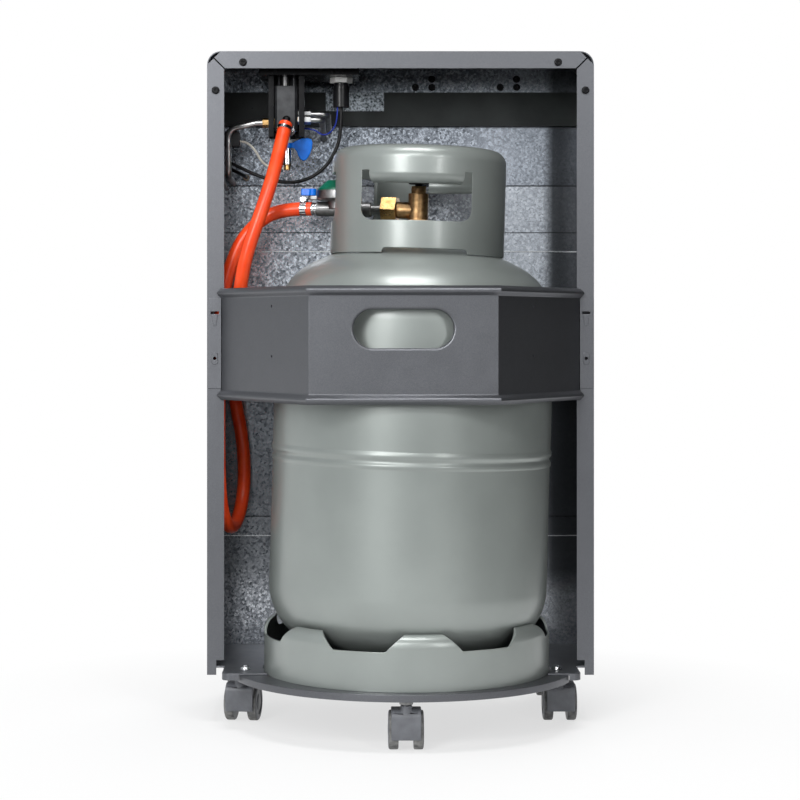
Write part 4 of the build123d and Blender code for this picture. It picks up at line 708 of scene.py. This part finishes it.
def done(piece, name=None):
    """Leaves edit mode, and names the piece."""
    bpy.ops.object.mode_set(mode="OBJECT")
    if name:
        piece.name = piece.data.name = name
    return piece


print("selecting helpers ready")

# %% [markdown]
# A bent sheet, a moulding's outline and a turned part all start from a run of points. The run is extruded
# into a sheet, filled, or spun round an axis, and at the end doubled points are merged and the faces are
# turned outwards.

# %% Shaping
DOUBLED = 0.00001


def extrude(step):
    """Extrudes what is selected by one step."""
    bpy.ops.mesh.extrude_region_move(TRANSFORM_OT_translate={"value": Vector(step)})


def turn(degrees, axis, centre):
    """Turns what is selected; without a window the operator's own angle runs the other way."""
    bpy.ops.transform.rotate(value=-math.radians(degrees), orient_axis=axis, orient_type="GLOBAL",
                             center_override=centre)


def line_of(name, places):
    """A run of edges through the places: one point, extruded from place to place."""
    bpy.ops.object.select_all(action="DESELECT")
    bpy.ops.mesh.primitive_plane_add(size=0.01, location=(0, 0, 0))
    piece = bpy.context.object
    edit(piece)
    bpy.ops.mesh.merge(type="CENTER")
    places = [Vector(place) for place in places]
    bpy.ops.transform.translate(value=places[0])
    for before, after in zip(places, places[1:]):
        extrude(after - before)
    return done(piece, name)


def close_up(piece):
    """Merges doubled points and makes every face look outwards."""
    edit(piece)
    bpy.ops.mesh.remove_doubles(threshold=DOUBLED)
    bpy.ops.mesh.normals_make_consistent(inside=False)
    return done(piece)


def spun(name, outline, axis="Z", steps=96):
    """Spins an outline of (radius, height) points round the origin's axis."""
    along_x = axis == "X"
    piece = line_of(name, [(high, 0, out) if along_x else (out, 0, high) for out, high in outline])
    edit(piece)
    bpy.ops.mesh.spin(steps=steps, angle=math.tau, center=(0, 0, 0), axis=(1, 0, 0) if along_x else (0, 0, 1))
    done(piece)
    return close_up(piece)


print("shaping helpers ready")

# %% [markdown]
# A finished piece keeps its place in its mesh, with its object at the origin, as the CAD parts do. Modifiers
# round its edges and are applied at once. Last, it takes over from the CAD part that it stands for.


# %% Placing and finishing
def put(piece, matrix):
    """Moves a finished piece to its place, and leaves its object at the origin."""
    piece.matrix_world = matrix
    alone(piece)
    bpy.ops.object.transform_apply(location=True, rotation=True, scale=True)
    return piece


def modify(piece, kind, **settings):
    """Adds a modifier and applies it."""
    alone(piece)
    modifier = piece.modifiers.new(kind.lower(), kind)
    for setting, value in settings.items():
        setattr(modifier, setting, value)
    bpy.ops.object.modifier_apply(modifier=modifier.name)
    return piece


def rounded(piece, width, segments=2, angle=32):
    """Rounds every edge that is sharper than the angle."""
    return modify(piece, "BEVEL", width=width, segments=segments, limit_method="ANGLE",
                  angle_limit=math.radians(angle), use_clamp_overlap=False)


def smooth(piece, angle=34):
    """Smooth shading up to an angle; the large faces keep their own normal, and the bevels take the turn."""
    alone(piece)
    bpy.ops.object.shade_smooth_by_angle(angle=math.radians(angle))
    return modify(piece, "WEIGHTED_NORMAL", keep_sharp=True, weight=60)


def stand_for(piece, node):
    """The piece takes the place, finish and body of a CAD part, which is then hidden."""
    wear(piece, FINISHES[node])
    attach(piece, BODY_OF[node])
    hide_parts(node)
    return piece


print("finishing helpers ready")

# %% [markdown]
# ## Real edges
# No pressed, cast or moulded part has a knife edge: every edge is a little round, and that small radius
# catches the light as a thin line. A CAD part is copied, the copy's loose triangles are merged into whole
# faces, and a bevel rounds each edge by what its process leaves: a few tenths on sheet, more on mouldings.
# The two largest sheets, the shell and the front surround, stay as they are: their wide flat faces have so
# many cut-outs that a bevel would leave streaks of shading between them.

# %% Rounded edges
SEAM_GAP, FLAT_DEGREES = 0.000002, 0.6
EDGE_RADII = {
    0.0002: ["reflector", "black_screws", "hose_clamps"],
    0.0003: ["inner_wall", "upper_wall", "air_baffle", "top_rail", "front_panel", "control_tray", "valve_bracket",
             "hose_tail", "shelf_screws", "pipe_nuts", "inlet_tap", "gas_valve", "igniter_body"],
    0.0005: ["base_plate", "cylinder_shelf", "regulator_body", "control_knob", "cylinder_foot", "cylinder_valve",
             "regulator_nut", "regulator_lever", "igniter_nut", "castor_sockets"],
    0.0008: ["ceramic_plaques", "handwheel", "cylinder_collar", "wall_block", "burner_plenums", "igniter_button",
             *(f"castor_hood_{number}" for number in range(1, 6))],
}


def copy_of(node, name):
    """A copy of a CAD part, in edit mode, with its loose triangles merged."""
    piece = bpy.data.objects.new(name, nodes[node].data.copy())
    bpy.context.scene.collection.objects.link(piece)
    edit(piece)
    bpy.ops.mesh.remove_doubles(threshold=SEAM_GAP)
    return piece


def edged(node, radius):
    """A copy of a CAD part with whole faces and rounded edges."""
    piece = copy_of(node, node + "_finished")
    bpy.ops.mesh.dissolve_limited(angle_limit=math.radians(FLAT_DEGREES))
    done(piece)
    rounded(piece, radius)
    smooth(piece)
    return stand_for(piece, node)


finished = {node: edged(node, radius) for radius, group in EDGE_RADII.items() for node in group}
print("rounded", len(finished), "parts")

# %% [markdown]
# Two of these parts are of several materials: the nuts on the right pipes are alloy and the left one is
# brass, and the tap has a white bush on top and a brass tip. Their faces are told apart by their places.

# %% Two-part finishes
LEFT_NUTS_END, BUSH_BOTTOM, TIP_TOP = -0.11, 0.6238, 0.6116


def repaint(piece, finish, wanted):
    """Gives the faces whose middle passes a test a finish of their own."""
    piece.data.materials.append(finish)
    chosen = [polygon for polygon in piece.data.polygons if wanted(polygon.center)]
    for polygon in chosen:
        polygon.material_index = len(piece.data.materials) - 1
    print(len(chosen), "faces of", piece.name, "wear", finish.name)


repaint(finished["pipe_nuts"], pipe_alloy, lambda middle: middle.x > LEFT_NUTS_END)
repaint(finished["inlet_tap"], white_moulding, lambda middle: middle.z > BUSH_BOTTOM)
repaint(finished["inlet_tap"], brass, lambda middle: middle.z < TIP_TOP)

# %% [markdown]
# ## The bottle
# A gas bottle is two deep-drawn heads welded to a rolled wall, so it is a body of revolution: a dished head,
# a tight knuckle, a straight wall with the joggled weld seam, and a ring for the valve. Its outline is
# drawn once, as points of (radius, height), and spun.

# %% Bottle outline
BOTTLE_RADIUS = 0.15
KNUCKLE, CROWN = 0.067, 0.24
LOWER_HEAD, UPPER_HEAD, SEAM = 0.152, 0.437, 0.293
RING_HEIGHT, RING_EDGE_DEGREES = 0.009, 85.3
CROWN_DROP = math.sqrt((CROWN - KNUCKLE) ** 2 - (BOTTLE_RADIUS - KNUCKLE) ** 2)


def arc(centre, radius, start, end, steps):
    """Points along an arc, from one angle to another, in degrees."""
    places = []
    for step in range(steps + 1):
        angle = math.radians(start + (end - start) * step / steps)
        places.append((centre[0] + radius * math.cos(angle), centre[1] + radius * math.sin(angle)))
    return places


slope = math.degrees(math.atan2(CROWN_DROP, BOTTLE_RADIUS - KNUCKLE))
lower = arc((0, LOWER_HEAD + CROWN_DROP), CROWN, -90, -slope, 14)
lower += arc((BOTTLE_RADIUS - KNUCKLE, LOWER_HEAD), KNUCKLE, -slope, 0, 10)[1:]
seam = [(-0.0005, -0.009), (0.0005, -0.0075), (0.0007, -0.0045), (0.0002, -0.003), (-0.0009, -0.0012),
        (-0.0009, 0.0008), (0.0003, 0.0022), (0.0012, 0.004), (0.0013, 0.0068), (0.0004, 0.009), (0, 0.0105)]
seam = [(BOTTLE_RADIUS + out, SEAM + up) for out, up in seam]
upper = arc((BOTTLE_RADIUS - KNUCKLE, UPPER_HEAD), KNUCKLE, 0, slope, 10)
upper += arc((0, UPPER_HEAD - CROWN_DROP), CROWN, slope, RING_EDGE_DEGREES, 14)[1:]
ring_top = UPPER_HEAD - CROWN_DROP + CROWN + RING_HEIGHT
upper += [(0.019, ring_top - 0.0025), (0.0185, ring_top - 0.001), (0.017, ring_top), (0.0125, ring_top),
          (0.0125, ring_top - 0.012), (0, ring_top - 0.012)]
bottle_outline = lower + seam + upper
print("the outline has", len(bottle_outline), "points")

# %% [markdown]
# The bottle leans a little to the right over its foot ring, as it does in the picture, so the spun body is
# turned about the middle of the ring before it takes its place.

# %% Bottle body
LEAN_DEGREES, LEAN_LEVEL = 1.6, 0.11
LEAN_CENTRE = at(0.0065, -0.005, LEAN_LEVEL)
lean = Matrix.Translation(LEAN_CENTRE) @ Matrix.Rotation(math.radians(LEAN_DEGREES), 4, "Y")
lean = lean @ Matrix.Translation((0, 0, -LEAN_LEVEL))
bottle = spun("bottle_vessel", bottle_outline, steps=128)
put(bottle, lean)
smooth(bottle, 50)
stand_for(bottle, "cylinder_body")
print("bottle has", len(bottle.data.polygons), "faces")

# %% [markdown]
# ## The retaining band
# The band that keeps the bottle in place is one bent sheet with a rounded bead pressed along both edges. As
# at the press, its section comes first: a run of points up the sheet, with a bead at each end. That section
# is extruded along the sheet's path, and at each fold it is turned by half the fold and made slightly
# longer, so that the two runs meet in a true mitre.

# %% Band section and folds
BAND_LOW, BAND_HIGH, BEAD, BEAD_DEPTH = 0.362, 0.462, 0.0106, 0.005
BAND_START, BAND_FOLD, BAND_REACH, BAND_SHEET, BAND_GAP = 0.194, 0.095, 0.168, 0.0012, 0.0002


def bead_points(low, high, steps=8):
    """The bead's rounded section as (out, height), from its lower to its upper edge."""
    shares = [step / steps for step in range(steps + 1)]
    return [(BEAD_DEPTH * math.sin(math.pi * share) ** 1.25, low + (high - low) * share) for share in shares]


section = bead_points(BAND_LOW - BEAD, BAND_LOW) + bead_points(BAND_HIGH, BAND_HIGH + BEAD)
stations = [at(x, depth, 0) for x, depth in (
    (-BAND_START, -BAND_GAP), (-BAND_FOLD, -BAND_REACH + BAND_SHEET), (BAND_FOLD, -BAND_REACH + BAND_SHEET),
    (BAND_START, -BAND_GAP))]
run = stations[1] - stations[0]
fold = math.degrees(math.atan2(-run.y, run.x))
turns = [-fold, -fold / 2, fold / 2, fold]
longer = 1 / math.cos(math.radians(fold / 2))
widths = [1, longer, longer, 1]
band = line_of("band_sheet", [(0, -out - BAND_SHEET, height) for out, height in section])
edit(band)
bpy.ops.transform.translate(value=stations[0])
turn(turns[0], "Z", stations[0])
for index in range(1, 4):
    extrude(stations[index] - stations[index - 1])
    here = stations[index]
    turn(-turns[index - 1], "Z", here)
    bpy.ops.transform.resize(value=(1, widths[index] / widths[index - 1], 1), center_override=here)
    turn(turns[index], "Z", here)
bpy.ops.mesh.select_all(action="SELECT")
bpy.ops.mesh.normals_make_consistent(inside=False)
done(band)
print("band folds by", round(fold, 1), "degrees")

# %% [markdown]
# Solidify gives the band the sheet's thickness, and cutters take out the grip and two small holes in each
# side facet. The slot-shaped cutter starts as a circle whose two halves are moved apart.


# %% Cutters
def drill(place, direction, radius, length):
    """A round cutter through a place, along a direction."""
    bpy.ops.object.select_all(action="DESELECT")
    facing = Vector(direction).to_track_quat("Z", "Y").to_euler()
    bpy.ops.mesh.primitive_cylinder_add(vertices=32, radius=radius, depth=length, location=place, rotation=facing)
    return bpy.context.object


def cut_away(piece, cutter):
    """Takes the cutter's shape out of the piece."""
    modify(piece, "BOOLEAN", operation="DIFFERENCE", object=cutter, solver="EXACT")
    bpy.data.objects.remove(cutter)


def stadium_rings(name, rings, half_length, place):
    """Rounded-slot rings, each (radius, depth) from the one before, and the two half rings moved apart."""
    bpy.ops.object.select_all(action="DESELECT")
    half_step = math.pi / 48
    bpy.ops.mesh.primitive_circle_add(vertices=48, radius=rings[0][0], rotation=(math.pi / 2, half_step, 0))
    piece = bpy.context.object
    bpy.ops.object.transform_apply(location=False, rotation=True, scale=False)
    edit(piece)
    bpy.ops.transform.translate(value=(0, rings[0][1], 0))
    for (radius, depth), (next_radius, next_depth) in zip(rings, rings[1:]):
        extrude((0, next_depth - depth, 0))
        ratio = next_radius / radius
        bpy.ops.transform.resize(value=(ratio, 1, ratio), center_override=(0, next_depth, 0))
    choose(piece, lambda place: place.x > 0)
    bpy.ops.transform.translate(value=(2 * half_length, 0, 0))
    edit(piece)
    bpy.ops.transform.translate(value=(-half_length, 0, 0))
    done(piece, name)
    return put(piece, Matrix.Translation(place))


print("cutters ready")

# %% Band thickness and holes
GRIP_LEVEL, GRIP_RADIUS, GRIP_HALF, ROLL_WIDTH = 0.4285, 0.0195, 0.031, 0.0024
HOLE_LEVELS, HOLE_RADIUS, HOLE_SHARE = (BAND_HIGH - 0.01, BAND_LOW + 0.038), 0.0016, 0.6
CUT_HALF = 0.01
modify(band, "SOLIDIFY", thickness=BAND_SHEET, offset=-1, use_even_offset=True)
rounded(band, 0.0007, 2, 48)
face = at(0, -BAND_REACH, GRIP_LEVEL)
rings = [(GRIP_RADIUS + ROLL_WIDTH, depth) for depth in (-CUT_HALF, CUT_HALF)]
cutter = stadium_rings("grip_cutter", rings, GRIP_HALF, face)
edit(cutter)
bpy.ops.mesh.select_all(action="DESELECT")
bpy.ops.mesh.select_non_manifold()
bpy.ops.mesh.edge_face_add()
close_up(cutter)
cut_away(band, cutter)
facet = stations[0] * (1 - HOLE_SHARE) + stations[1] * HOLE_SHARE
outward = Vector((run.y, -run.x, 0)).normalized()
for level in HOLE_LEVELS:
    for side in (-1, 1):
        middle = Vector((-side * facet.x, facet.y, level))
        cut_away(band, drill(middle, (-side * outward.x, outward.y, 0), HOLE_RADIUS, 0.008))
print("band has", len(band.data.polygons), "faces")

# %% [markdown]
# The grip's edge is a separate ring of sheet in this model: it starts flush with the face, rolls inwards
# through a quarter circle and ends in a short straight lip, so a hand meets no sharp edge. The two end tabs
# with their hooks keep the CAD part's own shape: its copy is cut through beside each tab.

# %% Grip roll and end tabs
TAB_START, TAB_EDGE = 0.1932, 0.0003
roll = [(2.45, 0), (1.2, 0.3), (0.45, 1.0), (0.08, 2.0), (0, 3.2), (0, 5.7), (1.2, 5.7), (1.2, 3.2), (1.5, 2.2),
        (2.1, 1.5), (2.45, 1.2), (2.45, 0)]
grip = stadium_rings("grip_roll", [(GRIP_RADIUS + out / 1000, deep / 1000) for out, deep in roll], GRIP_HALF, face)
close_up(grip)


def end_tab(side):
    """The end of the CAD band beyond its facet: the tab, its slot and its hook."""
    tab = copy_of("retainer_band", "band_tab")
    bpy.ops.mesh.bisect(plane_co=(side * TAB_START, 0, 0), plane_no=(side, 0, 0), use_fill=True, clear_inner=True)
    bpy.ops.mesh.select_all(action="SELECT")
    bpy.ops.mesh.dissolve_limited(angle_limit=math.radians(FLAT_DEGREES))
    done(tab)
    return rounded(tab, TAB_EDGE)


pieces = [grip, end_tab(-1), end_tab(1)]
alone(band)
for piece in pieces:
    piece.select_set(True)
bpy.ops.object.join()
smooth(band, 40)
stand_for(band, "retainer_band")
print("band, grip roll and tabs:", len(band.data.polygons), "faces")

# %% [markdown]
# ## Castor wheels
# Each castor has two moulded wheels with a flat tread, a rounded shoulder and a shallow dish round the hub. A
# cylinder with insets could give that shape too, but an outline holds every step of it in one list. It is
# spun round the axle, mirrored for the twin wheel, and the pair is copied to all five castors. The treads
# are scuffed pale from rolling, so their faces get a finish of their own.

# %% Castor wheels
CASTORS = [(-0.1745, 0.008, -9), (0.003, -0.155, 0), (0.1745, 0.008, 0), (-0.18, 0.165, 0), (0.18, 0.165, 0)]
CASTOR_TRAIL, WHEEL_RADIUS, TREAD_FROM = 0.016, 0.02, 0.0194
wheel_outline = [
    (0, 16.8), (3.05, 16.8), (3.05, 7.7), (18.4, 7.7), (19.4, 8.0), (19.9, 8.8), (20, 9.6), (20, 15.6),
    (19.8, 16.6), (19.2, 17.4), (18.2, 17.9), (16.2, 18.1), (14.6, 18.1), (14, 17.8), (13.6, 17.2),
    (12.8, 16.9), (9.6, 16.9), (8.8, 17.2), (8.2, 17.9), (6.4, 18.3), (3, 18.5), (0, 18.5),
]
wheel = spun("wheel_pair", [(out / 1000, along / 1000) for out, along in wheel_outline], "X", 48)
modify(wheel, "MIRROR", use_axis=(True, False, False), use_clip=False, use_mirror_merge=False)
close_up(wheel)
smooth(wheel, 40)
wheel.data.materials.append(castor_moulding)
wheel.data.materials.append(tyre_moulding)
for polygon in wheel.data.polygons:
    if math.hypot(polygon.center.y, polygon.center.z) > TREAD_FROM:
        polygon.material_index = 1
for number, (x, depth, swivel) in enumerate(CASTORS, 1):
    pair = bpy.data.objects.new(f"castor_pair_{number}_wheels", wheel.data.copy())
    bpy.context.scene.collection.objects.link(pair)
    spot = Matrix.Translation(at(x, depth, 0)) @ Matrix.Rotation(math.radians(swivel), 4, "Z")
    put(pair, spot @ Matrix.Translation((0, CASTOR_TRAIL, WHEEL_RADIUS)))
    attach(pair, f"castor_pair_{number}")
    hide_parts(f"castor_wheels_{number}")
bpy.data.objects.remove(wheel)
print("five pairs of wheels")

# %% [markdown]
# ## The tap's paddle
# The small shut-off tap has a blue moulded paddle, wide at its tip and narrow where it meets the neck ring. A
# stretched box would look too plain beside the real outline, so that is drawn as a run of points, filled,
# extruded to its thickness and rounded. The ring on which the paddle turns is spun.

# %% Tap paddle
TAP = at(-0.1248, 0.053, 0)
PADDLE_SHEET = 0.0032
outline = [(2, 633.5), (9, 637), (16, 640), (23, 640.5), (27, 638.8), (28.2, 635), (27.5, 629), (25, 622),
           (21.5, 616.5), (18, 615), (14.5, 617), (12.2, 621), (10.5, 626), (8, 628.8), (2, 630)]
paddle = line_of("tap_paddle", [(reach / 1000, -PADDLE_SHEET / 2, height / 1000) for reach, height in outline])
edit(paddle)
bpy.ops.mesh.edge_face_add()
extrude((0, PADDLE_SHEET, 0))
close_up(paddle)
rounded(paddle, 0.0011, 3, 50)
ring_outline = [(3.25, 629.3), (5.5, 629.3), (5.5, 634.7), (3.25, 634.7), (3.25, 629.3)]
ring = spun("tap_ring", [(out / 1000, height / 1000) for out, height in ring_outline], steps=32)
rounded(ring, 0.0006, 2, 50)
alone(paddle)
ring.select_set(True)
bpy.ops.object.join()
put(paddle, Matrix.Translation(TAP))
smooth(paddle, 40)
stand_for(paddle, "tap_lever")
print("paddle has", len(paddle.data.polygons), "faces")
